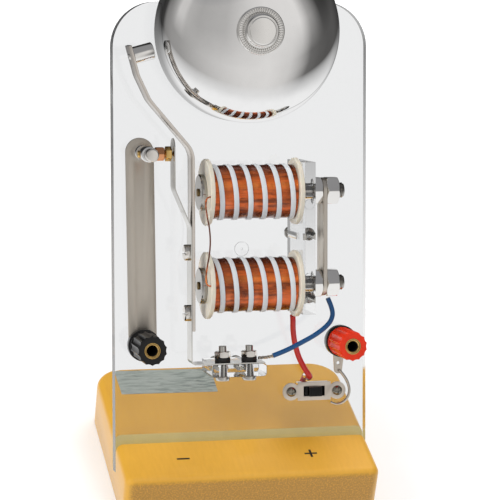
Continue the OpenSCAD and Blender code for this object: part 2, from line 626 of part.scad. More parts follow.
module clamp_bolts() color([0.68, 0.66, 0.62]) on_panel() for (u = clamp_us) translate([u, 0, coil_n]) {
    translate([0, shelf_v - shelf_t - bolt_head_t, 0]) along_v() cylinder(d = 5.5, h = bolt_head_t);
    translate([0, shelf_v - shelf_t, 0]) along_v()
        cylinder(d = small_bolt_d, h = shelf_t + leaf_t + washer_t + clamp_nut_t + clamp_end);
}
module clamp_washers() color([0.06, 0.06, 0.06]) on_panel() for (u = clamp_us)
    translate([u, stack_v, coil_n]) along_v() ring(5.9, small_bolt_d + 2 * slack, washer_t);
module clamp_nuts() color([0.75, 0.75, 0.75]) on_panel() for (u = clamp_us)
    translate([u, stack_v + washer_t, coil_n]) along_v()
        bored_hex(clamp_nut_af, clamp_nut_t, small_bolt_d + 2 * slack);

// ---- contact post and link strip ----
link_ends = [[-post_u, post_v], [-terminal_u, terminal_v]];
link_run = link_ends[1] - link_ends[0];
module link_strip() color([0.7, 0.66, 0.6]) on_panel() linear_extrude(link_t) difference() {
    union() {
        translate(link_ends[0]) rotate(atan2(link_run[0], -link_run[1]))
            translate([-link_w / 2, -norm(link_run)]) square([link_w, norm(link_run)]);
        for (at = link_ends) translate(at) circle(d = link_w);
    }
    for (at = link_ends) translate(at) circle(d = terminal_shank_d + 2 * slack);
}
groove_n = 9.4;          // of the turned groove round the post
clamp_head_d = 5;        // screw in the post's end, which holds the contact screw
clamp_head_h = 5.4;
clamp_neck_d = 3.6;
clamp_neck_h = 0.8;
clamp_into = 1.6;
module contact_post() color([0.78, 0.78, 0.77]) on_panel() translate([-post_u, post_v, 0]) difference() {
    union() {
        translate([0, 0, link_t]) cylinder(d = post_d, h = post_l);
        translate([0, 0, -back_stack]) cylinder(d = terminal_shank_d, h = back_stack + link_t);
    }
    translate([0, 0, groove_n]) ring(post_d + 2 * cut, post_d - 1.2, 0.8);
    translate([-post_d, 0, coil_n]) along_u() cylinder(d = contact_d + 2 * slack, h = 2 * post_d);
    translate([0, 0, coil_n + contact_d / 2 + 0.6]) cylinder(d = back_screw_d + 2 * slack, h = post_l);
}
module post_clamp_screw() color([0.75, 0.7, 0.62]) on_panel() translate([-post_u, post_v, link_t + post_l]) {
    cylinder(d = clamp_neck_d, h = clamp_neck_h);
    translate([0, 0, clamp_neck_h]) cylinder(d = clamp_head_d, h = clamp_head_h - 0.4);
    translate([0, 0, clamp_neck_h + clamp_head_h - 0.4])
        cylinder(d1 = clamp_head_d, d2 = clamp_head_d - 0.8, h = 0.4);
    translate([0, 0, -clamp_into]) cylinder(d = back_screw_d, h = clamp_into + clamp_neck_h / 2);
}
module post_nut() color([0.7, 0.7, 0.7]) on_panel() translate([-post_u, post_v, -panel_t - panel_washer_t]) {
    ring(panel_washer_d, terminal_shank_d + 2 * slack, panel_washer_t);
    translate([0, 0, -post_nut_t])
        bored_hex(terminal_nut_af, post_nut_t, terminal_shank_d + 2 * slack);
}
module contact_screw() color([0.82, 0.6, 0.22]) on_panel() translate([0, post_v, coil_n]) {
    translate([-post_u - post_d / 2 - contact_back, 0, 0]) along_u()
        cylinder(d = contact_d, h = contact_head_u + post_u + post_d / 2 + contact_back + contact_head_t);
    translate([contact_head_u, 0, 0]) along_u() hex(contact_af, contact_head_t);
    translate([contact_tip_u - contact_point_l, 0, 0]) along_u()
        cylinder(d1 = contact_d - 0.5, d2 = contact_d - 1.3, h = contact_point_l);
}
module contact_lock_nut() color([0.78, 0.45, 0.28]) on_panel()
    translate([contact_head_u - contact_head_gap - lock_nut_t, post_v, coil_n]) along_u()
        bored_hex(contact_af, lock_nut_t, contact_d + 2 * slack);

// ---- terminals ----
red_drop = 0.8;          // the red terminal stands a little lower than the black one
function terminal_height(side) = side < 0 ? terminal_v : terminal_v - red_drop;
module at_terminal(side) on_panel() translate([side * terminal_u, terminal_height(side), 0]) children();
socket_edge = 0.4;       // slope round the socket's mouth
module stem(side) color([0.82, 0.62, 0.25]) at_terminal(side) difference() {
    union() {
        translate([0, 0, collar_n]) cylinder(d = stem_d, h = cap_end_n - collar_n);
        translate([0, 0, -back_stack]) cylinder(d = terminal_shank_d, h = back_stack + collar_n);
    }
    translate([0, 0, cap_end_n - socket_depth]) cylinder(d = socket_d, h = socket_depth + cut);
    translate([0, 0, cap_end_n - socket_edge])
        cylinder(d1 = socket_d, d2 = socket_d + 2.8, h = socket_edge + cut);
}
bush_d = stem_d + 2 * slack + 2 * bush_wall;
module cap_bush(side) color([0.82, 0.62, 0.25]) at_terminal(side) translate([0, 0, cap_n])
    ring(bush_d, stem_d + 2 * slack, cap_l);
cap_edge = 0.4;          // slope round the outer end of a cap
cap_rim = 1.2;           // plain rim under the flutes
flute_r = 2.2;
flute_inset = 0.06;      // leaves a narrow land between neighbouring flutes
flute_at = flute_inset + cap_d / 2 * cos(180 / flutes)
    + sqrt(pow(flute_r, 2) - pow(cap_d / 2 * sin(180 / flutes), 2));
module cap(side) at_terminal(side) translate([0, 0, cap_n]) difference() {
    union() {
        cylinder(d = cap_d, h = cap_l - cap_edge);
        translate([0, 0, cap_l - cap_edge]) cylinder(d1 = cap_d, d2 = cap_d - 2 * cap_edge, h = cap_edge);
    }
    translate([0, 0, -cut]) cylinder(d = bush_d + 2 * slack, h = cap_l + 2 * cut);
    for (k = [0:flutes - 1]) rotate([0, 0, 360 * k / flutes]) translate([flute_at, 0, cap_rim])
        cylinder(r = flute_r, h = cap_l);
}
module collar(side, n) color([0.08, 0.08, 0.08]) at_terminal(side) translate([0, 0, n])
    ring(collar_d, terminal_shank_d + 2 * slack, collar_n - n);
module black_stem() stem(-1);
module black_cap() color([0.08, 0.08, 0.08]) cap(-1);
module black_cap_bush() cap_bush(-1);
module black_collar() collar(-1, link_t);
module red_stem() stem(1);
module red_cap() color([0.85, 0.15, 0.1]) cap(1);
module red_cap_bush() cap_bush(1);
module red_collar() collar(1, lug_t);
module terminal_washers() color([0.7, 0.7, 0.7]) for (side = [-1, 1]) at_terminal(side)
    translate([0, 0, -panel_t - panel_washer_t])
        ring(panel_washer_d, terminal_shank_d + 2 * slack, panel_washer_t);
module terminal_nuts() color([0.75, 0.65, 0.4]) for (side = [-1, 1]) at_terminal(side)
    translate([0, 0, -panel_t - panel_washer_t - post_nut_t])
        bored_hex(terminal_nut_af, post_nut_t, terminal_shank_d + 2 * slack);
lug_ring_d = 8.4;
lug_drop = 11.5;         // from the terminal down to the lug's end
lug_lean = 0.5;
lug_top = [terminal_u, terminal_height(1)];
lug_end = lug_top - [lug_lean, lug_drop];
module solder_lug() color([0.76, 0.74, 0.7]) on_panel() linear_extrude(lug_t) difference() {
    union() {
        translate(lug_top) circle(d = lug_ring_d);
        polygon([[lug_end[0] - 1.6, lug_end[1]], [lug_end[0] + 1.6, lug_end[1]],
            lug_top + [2.2, -2.8], lug_top + [-2.6, -2.8]]);
        translate(lug_end) circle(d = 3.2);
    }
    translate(lug_top) circle(d = terminal_shank_d + 2 * slack);
    translate([lug_end[0], lug_end[1] + 2.6]) circle(d = 1.3);
}
module lug_wire() color([0.76, 0.72, 0.66]) on_panel() tube(smooth_route(lug_wire_route, 3), lug_wire_d);

// ---- slide switch ----
module at_switch() on_panel() translate([switch_u, switch_v, 0]) children();
module switch_plate() color([0.78, 0.74, 0.68]) at_switch() {
    linear_extrude(plate_t) difference() {
        union() {
            square([switch_can_w + 0.6, switch_plate_h], center = true);
            square([switch_pitch, 5.2], center = true);
            for (side = [-1, 1]) translate([side * switch_pitch / 2, 0]) circle(d = switch_plate_h - 0.4);
        }
        square([switch_slot_l, 3.9], center = true);
        for (side = [-1, 1]) translate([side * switch_pitch / 2, 0]) circle(d = 2.2);
    }
    for (y = [-switch_can_h / 2, switch_can_h / 2 - can_wall]) translate([-switch_can_w / 2, y, -can_depth])
        cube([switch_can_w, can_wall, can_depth]);
}
pocket_n = 2.6;          // depth of the block's pocket
pocket_l = 10.8;
pocket_h = 4.4;
foot_l = 7;              // the slider's foot, held under the plate
grip_pitch = 0.9;        // grip grooves across the knob
grip_w = 0.4;
module switch_block() color([0.1, 0.1, 0.1]) at_switch() difference() {
    translate([-switch_can_w / 2, can_wall + slack - switch_can_h / 2, -block_depth])
        cube([switch_can_w, switch_can_h - 2 * can_wall - 2 * slack, block_depth - slack]);
    translate([-pocket_l / 2, -pocket_h / 2, -pocket_n]) cube([pocket_l, pocket_h, pocket_n + cut]);
}
module switch_slider() color([0.05, 0.05, 0.05]) at_switch() difference() {
    union() {
        translate([-knob_l / 2, -1.85, slack - pocket_n]) cube([knob_l, 3.7, pocket_n + knob_n]);
        translate([-foot_l / 2, -pocket_h / 2 + slider_gap, slack - pocket_n])
            cube([foot_l, pocket_h - 2 * slider_gap, pocket_n - slack - slider_gap]);
    }
    for (k = [-2:2]) translate([k * grip_pitch - grip_w / 2, -pocket_h, knob_n - grip_w / 2])
        cube([grip_w, 2 * pocket_h, knob_n]);
}
module switch_screws() color([0.7, 0.68, 0.62]) at_switch() for (side = [-1, 1])
    translate([side * switch_pitch / 2, 0, 0]) {
        translate([0, 0, -panel_t - 0.6]) cylinder(d = 2, h = panel_t + 0.8 + plate_t);
        translate([0, 0, plate_t]) difference() {
            union() {
                cylinder(d = 3.8, h = 0.6);
                translate([0, 0, 0.6]) cylinder(d1 = 3.8, d2 = 2.2, h = 0.6);
            }
            for (a = [0, 90]) rotate([0, 0, a]) translate([-1.2, -0.3, 0.4]) cube([2.4, 0.6, cut]);
        }
    }
module switch_tags() color([0.78, 0.74, 0.66]) at_switch() for (k = [-1:1])
    translate([k * 3.4 - 0.9, -0.25, -block_depth - tag_l]) cube([1.8, 0.5, tag_l - slack]);

// ---- leads ----
module blue_lead() color([0.05, 0.25, 0.55]) on_panel() {
    tube(smooth_route(blue_route, 3), blue_d);
    tube(smooth_route(blue_tail_route, 2), 1.1);
}
module red_lead() color([0.8, 0.15, 0.15]) on_panel()
    tube(smooth_route(red_route, 2), red_d, ref = [1, 0, 0]);
module coil_wire() color([0.65, 0.3, 0.15]) on_panel() tube(smooth_route(coil_wire_route, 2), coil_wire_d);

wooden_base();
clear_panel();
gong();
gong_pillar();
gong_bolt();
gong_bolt_washer();
gong_cap_nut();
coil_bracket();
bracket_screws();
bobbin_upper();
bobbin_lower();
winding_upper();
winding_lower();
tape_upper();
tape_lower();
iron_core_upper();
iron_core_lower();
pole_pins();
core_nuts_inner();
core_nuts_outer();
yoke_strip();
armature_arm();
hammer();
contact_leaf();
armature_screws();
leaf_foot();
spring_shelf();
shelf_screws();
clamp_bolts();
clamp_washers();
clamp_nuts();
link_strip();
contact_post();
post_clamp_screw();
post_nut();
contact_screw();
contact_lock_nut();
black_stem();
black_cap();
black_cap_bush();
black_collar();
red_stem();
red_cap();
red_cap_bush();
red_collar();
terminal_washers();
terminal_nuts();
solder_lug();
lug_wire();
switch_plate();
switch_block();
switch_slider();
switch_screws();
switch_tags();
blue_lead();
red_lead();
coil_wire();
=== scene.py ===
"""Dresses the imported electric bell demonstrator: finishes, modelled pieces, leads, lights and camera.

Lengths are in millimetres in the panel's own frame (across, up, out of its face), and PanelFrame turns
them into metres in the CAD frame. Each sub-assembly is a class that models and finishes its pieces.
"""

import logging
import math
from collections.abc import Iterator
from contextlib import contextmanager
from dataclasses import dataclass, field
from enum import Enum

import bpy
from mathutils import Matrix, Vector


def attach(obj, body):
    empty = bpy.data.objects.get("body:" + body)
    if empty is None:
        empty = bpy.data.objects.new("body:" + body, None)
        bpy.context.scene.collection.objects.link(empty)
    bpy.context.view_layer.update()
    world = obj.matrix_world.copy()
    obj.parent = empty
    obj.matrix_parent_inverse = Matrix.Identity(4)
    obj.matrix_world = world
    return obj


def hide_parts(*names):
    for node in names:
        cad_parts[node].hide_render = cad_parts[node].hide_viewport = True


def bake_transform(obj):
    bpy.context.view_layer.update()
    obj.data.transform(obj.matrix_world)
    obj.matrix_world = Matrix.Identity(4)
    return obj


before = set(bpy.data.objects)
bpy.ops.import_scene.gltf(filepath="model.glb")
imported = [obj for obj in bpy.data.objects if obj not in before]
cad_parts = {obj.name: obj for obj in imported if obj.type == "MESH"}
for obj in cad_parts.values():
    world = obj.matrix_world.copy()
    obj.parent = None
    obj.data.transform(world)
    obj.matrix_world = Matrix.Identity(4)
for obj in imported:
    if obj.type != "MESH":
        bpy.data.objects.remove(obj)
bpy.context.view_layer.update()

LOG = logging.getLogger("electric_bell")
MM = 0.001
Point = tuple[float, float, float]
Colour = tuple[float, float, float]
Spot = tuple[float, float]
Outline = list[Spot]
Piece = bpy.types.Object
Node = bpy.types.Node
Socket = bpy.types.NodeSocket


class Body(Enum):
    """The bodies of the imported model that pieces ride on."""

    FRAME = "frame"
    ARMATURE = "armature"
    SWITCH_KNOB = "switch_knob"
    CONTACT_SCREW = "contact_screw_body"
    BLACK_BUSH = "black_bush_carrier"
    BLACK_CAP = "black_cap_body"
    RED_BUSH = "red_bush_carrier"
    RED_CAP = "red_cap_body"


@dataclass(frozen=True)
class PanelFrame:
    """The leaning panel's frame: x across it, y up it and z out of its front face, in millimetres."""

    lean_deg: float = 25.0
    face_y: float = -15.0
    foot_z: float = 20.0

    def matrix(self) -> Matrix:
        """Returns the matrix from this frame to the CAD frame in metres."""
        place = Matrix.Translation((0, self.face_y, self.foot_z))
        return Matrix.Scale(MM, 4) @ place @ Matrix.Rotation(math.radians(90 - self.lean_deg), 4, "X")

    def point(self, at: Point) -> Vector:
        """Returns a point of this frame in the CAD frame."""
        return self.matrix() @ Vector(at)


PANEL = PanelFrame()
WORLD_MM = Matrix.Scale(MM, 4)


def facing(at: Point, towards: Point) -> Matrix:
    """Places a piece modelled along +Z.

    Args:
        at: where its origin goes, in the panel's frame.
        towards: the direction that its +Z takes.

    Returns:
        The matrix to the CAD frame in metres.
    """
    turn = Vector((0, 0, 1)).rotation_difference(Vector(towards)).to_matrix().to_4x4()
    return PANEL.matrix() @ Matrix.Translation(at) @ turn


# ---------------------------------------------------------------- modelling bench


def deselect() -> None:
    """Deselects every object."""
    bpy.ops.object.select_all(action="DESELECT")


def pick(piece: Piece) -> Piece:
    """Makes a piece the only selected and active one, and returns it."""
    deselect()
    piece.select_set(True)
    bpy.context.view_layer.objects.active = piece
    return piece


@contextmanager
def editing(piece: Piece) -> Iterator[None]:
    """Opens a piece in edit mode with all of it selected, and closes it again."""
    pick(piece)
    bpy.ops.object.mode_set(mode="EDIT")
    bpy.ops.mesh.select_all(action="SELECT")
    yield
    bpy.ops.object.mode_set(mode="OBJECT")


def named(name: str) -> Piece:
    """Names the active object and its mesh, and returns it."""
    piece = bpy.context.active_object
    piece.name = name
    piece.data.name = name
    return piece


def from_points(name: str, points: list, edges: list, faces: list) -> Piece:
    """Makes a mesh piece from points, edges and faces, and returns it picked."""
    mesh = bpy.data.meshes.new(name)
    mesh.from_pydata([tuple(p) for p in points], edges, faces)
    mesh.update()
    piece = bpy.data.objects.new(name, mesh)
    bpy.context.scene.collection.objects.link(piece)
    return pick(piece)


def mend(piece: Piece, gap: float = 1e-4) -> Piece:
    """Merges a mesh's doubles and points its faces outwards.

    Args:
        piece: the piece to mend.
        gap: points closer than this are merged.

    Returns:
        The piece.
    """
    with editing(piece):
        bpy.ops.mesh.remove_doubles(threshold=gap)
        bpy.ops.mesh.normals_make_consistent(inside=False)
    return piece


def lathe(name: str, profile: Outline, steps: int = 64, closed: bool = True) -> Piece:
    """Spins a half profile round the Z axis.

    Args:
        name: the piece's name.
        profile: (radius, height) points.
        steps: steps round the axis.
        closed: whether the profile's last point joins its first.

    Returns:
        The turned piece, in the profile's units.
    """
    count = len(profile)
    edges = [(i, i + 1) for i in range(count - 1)] + ([(count - 1, 0)] if closed else [])
    piece = from_points(name, [(r, 0, z) for r, z in profile], edges, [])
    with editing(piece):
        bpy.ops.mesh.spin(steps=steps, angle=2 * math.pi, center=(0, 0, 0), axis=(0, 0, 1))
    return mend(piece)


def prism(name: str, outline: Outline, low: float, high: float) -> Piece:
    """Extrudes a flat outline along Z.

    Args:
        name: the piece's name.
        outline: (x, y) points in order.
        low: the level of its lower face.
        high: the level of its upper face.

    Returns:
        The piece.
    """
    count = len(outline)
    piece = from_points(name, [(x, y, low) for x, y in outline], [], [list(range(count))])
    with editing(piece):
        bpy.ops.mesh.extrude_region_move(TRANSFORM_OT_translate={"value": (0, 0, high - low)})
    return mend(piece)


def cut(piece: Piece, tool: Piece) -> Piece:
    """Cuts a tool's shape out of a piece, removes the tool and returns the piece."""
    pick(piece)
    change = piece.modifiers.new("cut", "BOOLEAN")
    change.operation = "DIFFERENCE"
    change.solver = "EXACT"
    change.object = tool
    bpy.ops.object.modifier_apply(modifier=change.name)
    bpy.data.objects.remove(tool)
    return piece


def soften(piece: Piece, width: float, segments: int = 2, over_deg: float = 30) -> Piece:
    """Bevels a piece's sharp edges.

    Args:
        piece: the piece to soften.
        width: the bevel's width, in the mesh's units.
        segments: the bevel's segments.
        over_deg: edges sharper than this are bevelled.

    Returns:
        The piece, with the bevel applied and smooth shading.
    """
    pick(piece)
    change = piece.modifiers.new("soften", "BEVEL")
    change.width = width
    change.segments = segments
    change.limit_method = "ANGLE"
    change.angle_limit = math.radians(over_deg)
    change.harden_normals = False
    bpy.ops.object.modifier_apply(modifier=change.name)
    return smooth(piece, 38)


def smooth(piece: Piece, under_deg: float = 38) -> Piece:
    """Shades a piece smooth where its faces meet at less than an angle, and returns it."""
    pick(piece)
    bpy.ops.object.shade_smooth_by_angle(angle=math.radians(under_deg))
    return piece


def joined(name: str, pieces: list[Piece]) -> Piece:
    """Joins pieces into one mesh and names it."""
    deselect()
    for piece in pieces:
        piece.select_set(True)
    bpy.context.view_layer.objects.active = pieces[0]
    if len(pieces) > 1:
        bpy.ops.object.join()
    return named(name)


def copied(piece: Piece, move: Matrix) -> Piece:
    """Copies a piece with its own mesh, moves the copy's mesh and returns it."""
    pick(piece)
    bpy.ops.object.duplicate()
    twin = bpy.context.active_object
    twin.data.transform(move)
    return twin


def placed(piece: Piece, place: Matrix) -> Piece:
    """Moves a finished mesh to its place, with its object left at the origin."""
    piece.data.transform(place)
    piece.data.update()
    return piece


def settle(
    piece: Piece,
    finish: "Finish",
    body: Body = Body.FRAME,
    instead_of: tuple[str, ...] = (),
) -> Piece:
    """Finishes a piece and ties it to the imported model.

    Args:
        piece: the piece, at its place.
        finish: its finish.
        body: the body it rides on.
        instead_of: the CAD nodes that it stands for.

    Returns:
        The piece.
    """
    piece.data.materials.clear()
    piece.data.materials.append(finish.material())
    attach(piece, body.value)
    if instead_of:
        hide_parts(*instead_of)
    LOG.info("%s: %d faces, rides on %s", piece.name, len(piece.data.polygons), body.value)
    return piece


def catmull(points: list[Point], steps: int) -> list[Vector]:
    """Runs a smooth curve through given points.

    Args:
        points: the points, in order.
        steps: steps from one point to the next.

    Returns:
        The curve's points, the first and last of the given ones included.
    """
    p = [Vector(x) for x in points]
    curve = []
    for i in range(len(p) - 1):
        a, b, c, d = p[max(i - 1, 0)], p[i], p[i + 1], p[min(i + 2, len(p) - 1)]
        for k in range(steps):
            t = k / steps
            square = (2 * a - 5 * b + 4 * c - d) * t**2
            cube = (3 * b - a - 3 * c + d) * t**3
            curve.append(0.5 * (2 * b + (c - a) * t + square + cube))
    return curve + [p[-1]]


def tube(name: str, path: list[Vector], radius: float, sides: int = 16) -> Piece:
    """Draws a round tube along a path as a curve, and turns it into a mesh.

    Args:
        name: the piece's name.
        path: the centre line.
        radius: the tube's radius, in the path's units.
        sides: the tube's sides.

    Returns:
        The piece.
    """
    line = bpy.data.curves.new(name, "CURVE")
    line.dimensions = "3D"
    line.bevel_depth = radius
    line.bevel_resolution = max(0, sides // 4 - 1)
    line.use_fill_caps = True
    spline = line.splines.new("POLY")
    spline.points.add(len(path) - 1)
    for knot, at in zip(spline.points, path):
        knot.co = (*at, 1)
    piece = bpy.data.objects.new(name, line)
    bpy.context.scene.collection.objects.link(piece)
    pick(piece)
    bpy.ops.object.convert(target="MESH")
    return smooth(mend(named(name), 1e-5), 50)


def arc(centre: Spot, radius: float, start: float, end: float, steps: int = 8) -> Outline:
    """Points along an arc.

    Args:
        centre: the arc's centre.
        radius: its radius.
        start: its first angle in degrees.
        end: its last angle in degrees.
        steps: steps between them.

    Returns:
        The points, both ends included.
    """
    angles = [math.radians(start + (end - start) * k / steps) for k in range(steps + 1)]
    return [(centre[0] + radius * math.cos(a), centre[1] + radius * math.sin(a)) for a in angles]


def rounded_corners(points: Outline, radii: list[float], steps: int = 8) -> Outline:
    """Rounds the corners of a route.

    Args:
        points: the route's corners.
        radii: a radius for each, 0 where it stays sharp.
        steps: steps round each corner.

    Returns:
        The rounded route.
    """
    route: Outline = []
    for i, (at, radius) in enumerate(zip(points, radii)):
        if radius == 0:
            route.append(at)
            continue
        a, b, c = Vector(points[i - 1]), Vector(at), Vector(points[i + 1])
        into, out = (b - a).normalized(), (c - b).normalized()
        turn = into.angle(out)
        start = b - into * radius * math.tan(turn / 2)
        side = (out - into * into.dot(out)).normalized()
        centre = start + side * radius
        for k in range(steps + 1):
            w = turn * k / steps
            route.append(tuple(centre - side * radius * math.cos(w) + into * radius * math.sin(w)))
    return route


def strip(name: str, route: Outline, thick: float, wide: float, round_end: bool = True) -> Piece:
    """Bends a flat strip along a route in the XY plane, as wide as given along Z and centred on it.

    Args:
        name: the piece's name.
        route: the strip's middle line.
        thick: its thickness.
        wide: its width.
        round_end: whether its last end is a half circle.

    Returns:
        The strip, as a mesh of quads.
    """
    line = [Vector(p) for p in route]
    end_rows = 12
    if round_end:
        end, way = line[-1], (line[-1] - line[-2]).normalized()
        angles = [math.radians(x) for x in range(0, 91, 10)]
        tail = [end - way * (wide / 2) * (1 - math.sin(a)) for a in angles]
        while (line[-2] - end).length < wide / 2:
            line.pop(-2)
        line = line[:-1] + tail
    rows, points = [], []
    for i, at in enumerate(line):
        way = (line[min(i + 1, len(line) - 1)] - line[max(i - 1, 0)]).normalized()
        side = Vector((-way.y, way.x)) * thick / 2
        half = wide / 2
        if round_end:
            left = (line[-1] - at).length
            if left < wide / 2 and i > len(line) - end_rows:
                half = math.sqrt(max((wide / 2) ** 2 - (wide / 2 - left) ** 2, 0.0004))
        rows.append(len(points))
        for s, z in ((1, -half), (1, half), (-1, half), (-1, -half)):
            points.append((at.x + s * side.x, at.y + s * side.y, z))
    faces = [[0, 1, 2, 3], [rows[-1] + k for k in (3, 2, 1, 0)]]
    for low, high in zip(rows, rows[1:]):
        faces += [[low + k, high + k, high + (k + 1) % 4, low + (k + 1) % 4] for k in range(4)]
    return mend(from_points(name, points, [], faces), 1e-5)


def cad_copy(name: str, node: str, width: float = 0.18, segments: int = 2) -> Piece:
    """Copies a CAD node's mesh, merges its loose triangles into faces and bevels its edges.

    Args:
        name: the new piece's name.
        node: the CAD node.
        width: the bevel's width, in millimetres.
        segments: the bevel's segments.

    Returns:
        The new piece. The CAD node isn't changed.
    """
    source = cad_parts[node]
    mesh = source.data.copy()
    piece = bpy.data.objects.new(name, mesh)
    bpy.context.scene.collection.objects.link(piece)
    mesh.name = name
    mesh.transform(Matrix.Scale(1 / MM, 4))
    mend(piece, 1e-3)
    with editing(piece):
        bpy.ops.mesh.dissolve_limited(angle_limit=math.radians(1.5))
    if "custom_normal" in mesh.attributes:
        mesh.attributes.remove(mesh.attributes["custom_normal"])
    soften(piece, width, segments, 40)
    return placed(smooth(piece, 40), WORLD_MM)


def dress(
    name: str,
    node: str,
    finish: "Finish",
    width: float = 0.15,
    body: Body = Body.FRAME,
    segments: int = 2,
) -> Piece:
    """Softens a CAD piece's edges and finishes it.

    Args:
        name: the new piece's name.
        node: the CAD node that it stands for.
        finish: its finish.
        width: the bevel's width, in millimetres.
        body: the body it rides on.
        segments: the bevel's segments.

    Returns:
        The piece.
    """
    return settle(cad_copy(name, node, width, segments), finish, body, (node,))


def drill(radius: float, depth: float, sides: int, place: Matrix) -> Piece:
    """Makes a round cutting tool along +Z.

    Args:
        radius: its radius.
        depth: its length, half of it on each side of its place.
        sides: its sides.
        place: where it goes, in the cut piece's units.

    Returns:
        The tool.
    """
    deselect()
    bpy.ops.mesh.primitive_cylinder_add(vertices=sides, radius=radius, depth=depth)
    return placed(named("drill"), place)


# ---------------------------------------------------------------- finishes


class Graph:
    """Builds one node tree."""

    def __init__(self, tree: bpy.types.NodeTree) -> None:
        """Takes the tree and empties it."""
        self.tree = tree
        tree.nodes.clear()

    def add(self, kind: str, values: dict | None = None, **settings) -> Node:
        """Adds a node.

        Args:
            kind: the node's type name.
            values: values or sources for its inputs, by name or number.
            **settings: the node's own settings.

        Returns:
            The node.
        """
        node = self.tree.nodes.new(kind)
        for key, value in settings.items():
            setattr(node, key, value)
        self.fill(node, values or {})
        return node

    def fill(self, node: Node, values: dict) -> None:
        """Links sockets to a node's inputs, or sets the inputs' values."""
        for key, value in values.items():
            if isinstance(value, Socket):
                self.tree.links.new(value, node.inputs[key])
            else:
                node.inputs[key].default_value = value

    def math(self, operation: str, a, b=0.0, c=0.0) -> Socket:
        """Returns the output of a Math node on the given values or sockets."""
        return self.add("ShaderNodeMath", {0: a, 1: b, 2: c}, operation=operation).outputs[0]

    def scaled(self, vector, by) -> Socket:
        """Returns a vector multiplied axis by axis."""
        return self.add("ShaderNodeVectorMath", {0: vector, 1: by}, operation="MULTIPLY").outputs[0]

    def noise(self, place, scale, detail: float, **more) -> Socket:
        """Returns the strength of a noise texture."""
        values = {"Vector": place, "Scale": scale, "Detail": detail} | more
        return self.add("ShaderNodeTexNoise", values).outputs["Fac"]

    def span(self, value, low: float, high: float, least: float = 0.0) -> Socket:
        """Returns a share that goes from the least to 1 while a value goes from low to high."""
        values = {"Value": value, "From Min": low, "From Max": high, "To Min": least}
        return self.add("ShaderNodeMapRange", values).outputs[0]

    def effect(self, tree: bpy.types.NodeTree, *values):
        """Returns the outputs of a node group on the given values."""
        return self.add("ShaderNodeGroup", dict(enumerate(values)), node_tree=tree).outputs

    def glow(self, colour, strength=1.0) -> Socket:
        """Returns an emission shader."""
        return self.add("ShaderNodeEmission", {"Color": colour, "Strength": strength}).outputs[0]

    def blend(self, share, a: Socket, b: Socket) -> Socket:
        """Returns the shader that a share of shader b mixed into shader a gives."""
        return self.add("ShaderNodeMixShader", {0: share, 1: a, 2: b}).outputs[0]

    def ramp(self, source: Socket, stops: list[tuple[float, Colour]]) -> Socket:
        """Returns a colour ramp's output.

        Args:
            source: what drives the ramp.
            stops: (place, colour) pairs.

        Returns:
            The colour socket.
        """
        node = self.add("ShaderNodeValToRGB", {"Fac": source})
        marks = node.color_ramp.elements
        while len(marks) < len(stops):
            marks.new(0.5)
        for mark, (place, colour) in zip(marks, stops):
            mark.position = place
            mark.color = (*colour, 1)
        return node.outputs["Color"]

    def mix(self, share, a, b) -> Socket:
        """Returns the colour that a share of b mixed into a gives."""
        node = self.add("ShaderNodeMix", data_type="RGBA")
        for number, value in ((0, share), (6, a), (7, b)):
            plain = isinstance(value, tuple) and len(value) == 3
            self.fill(node, {number: (*value, 1) if plain else value})
        return node.outputs[2]


def shade(colour: Colour, by: float) -> Colour:
    """Returns a colour made darker or lighter."""
    return tuple(min(1.0, c * by) for c in colour)


FLOAT, VECTOR = "NodeSocketFloat", "NodeSocketVector"


def group(
    name: str, inputs: list[tuple[str, str, object]], outputs: list[str]
) -> tuple[bpy.types.NodeTree, bool]:
    """Starts a shader node group with named sockets.

    Args:
        name: the group's name.
        inputs: (name, socket type, default) for each input.
        outputs: the names of its outputs, which are numbers.

    Returns:
        The group, and whether it is new and has to be filled.
    """
    if name in bpy.data.node_groups:
        return bpy.data.node_groups[name], False
    tree = bpy.data.node_groups.new(name, "ShaderNodeTree")
    for label, kind, value in inputs:
        socket = tree.interface.new_socket(label, in_out="INPUT", socket_type=kind)
        if value is not None:
            socket.default_value = value
    for label in outputs:
        tree.interface.new_socket(label, in_out="OUTPUT", socket_type=FLOAT)
    return tree, True


def speckle_group() -> bpy.types.NodeTree:
    """Returns the group that gives cloudy variation and fine speckle."""
    inputs = [("Vector", VECTOR, None), ("Scale", FLOAT, 300.0)]
    tree, new = group("speckle", inputs, ["Cloud", "Fine"])
    if new:
        g = Graph(tree)
        place, scale = g.add("NodeGroupInput").outputs[:2]
        cloud = g.noise(place, g.math("MULTIPLY", scale, 0.25), 3.0)
        fine = g.noise(place, scale, 6.0)
        g.add("NodeGroupOutput", {0: cloud, 1: fine})
    return tree


def marks_group() -> bpy.types.NodeTree:
    """Returns the group that gives long fine marks, as a brush or a roller leaves."""
    inputs = [("Vector", VECTOR, None), ("Squeeze", VECTOR, (1, 1, 1)), ("Scale", FLOAT, 900.0)]
    tree, new = group("drawn_marks", inputs, ["Marks", "Scratch"])
    if new:
        g = Graph(tree)
        place, squeeze, scale = g.add("NodeGroupInput").outputs[:3]
        drawn = g.scaled(place, squeeze)
        marks = g.noise(drawn, scale, 4.0, Roughness=0.7)
        second = g.noise(drawn, g.math("MULTIPLY", scale, 0.3), 8.0)
        g.add("NodeGroupOutput", {0: marks, 1: g.span(second, 0.62, 0.7)})
    return tree


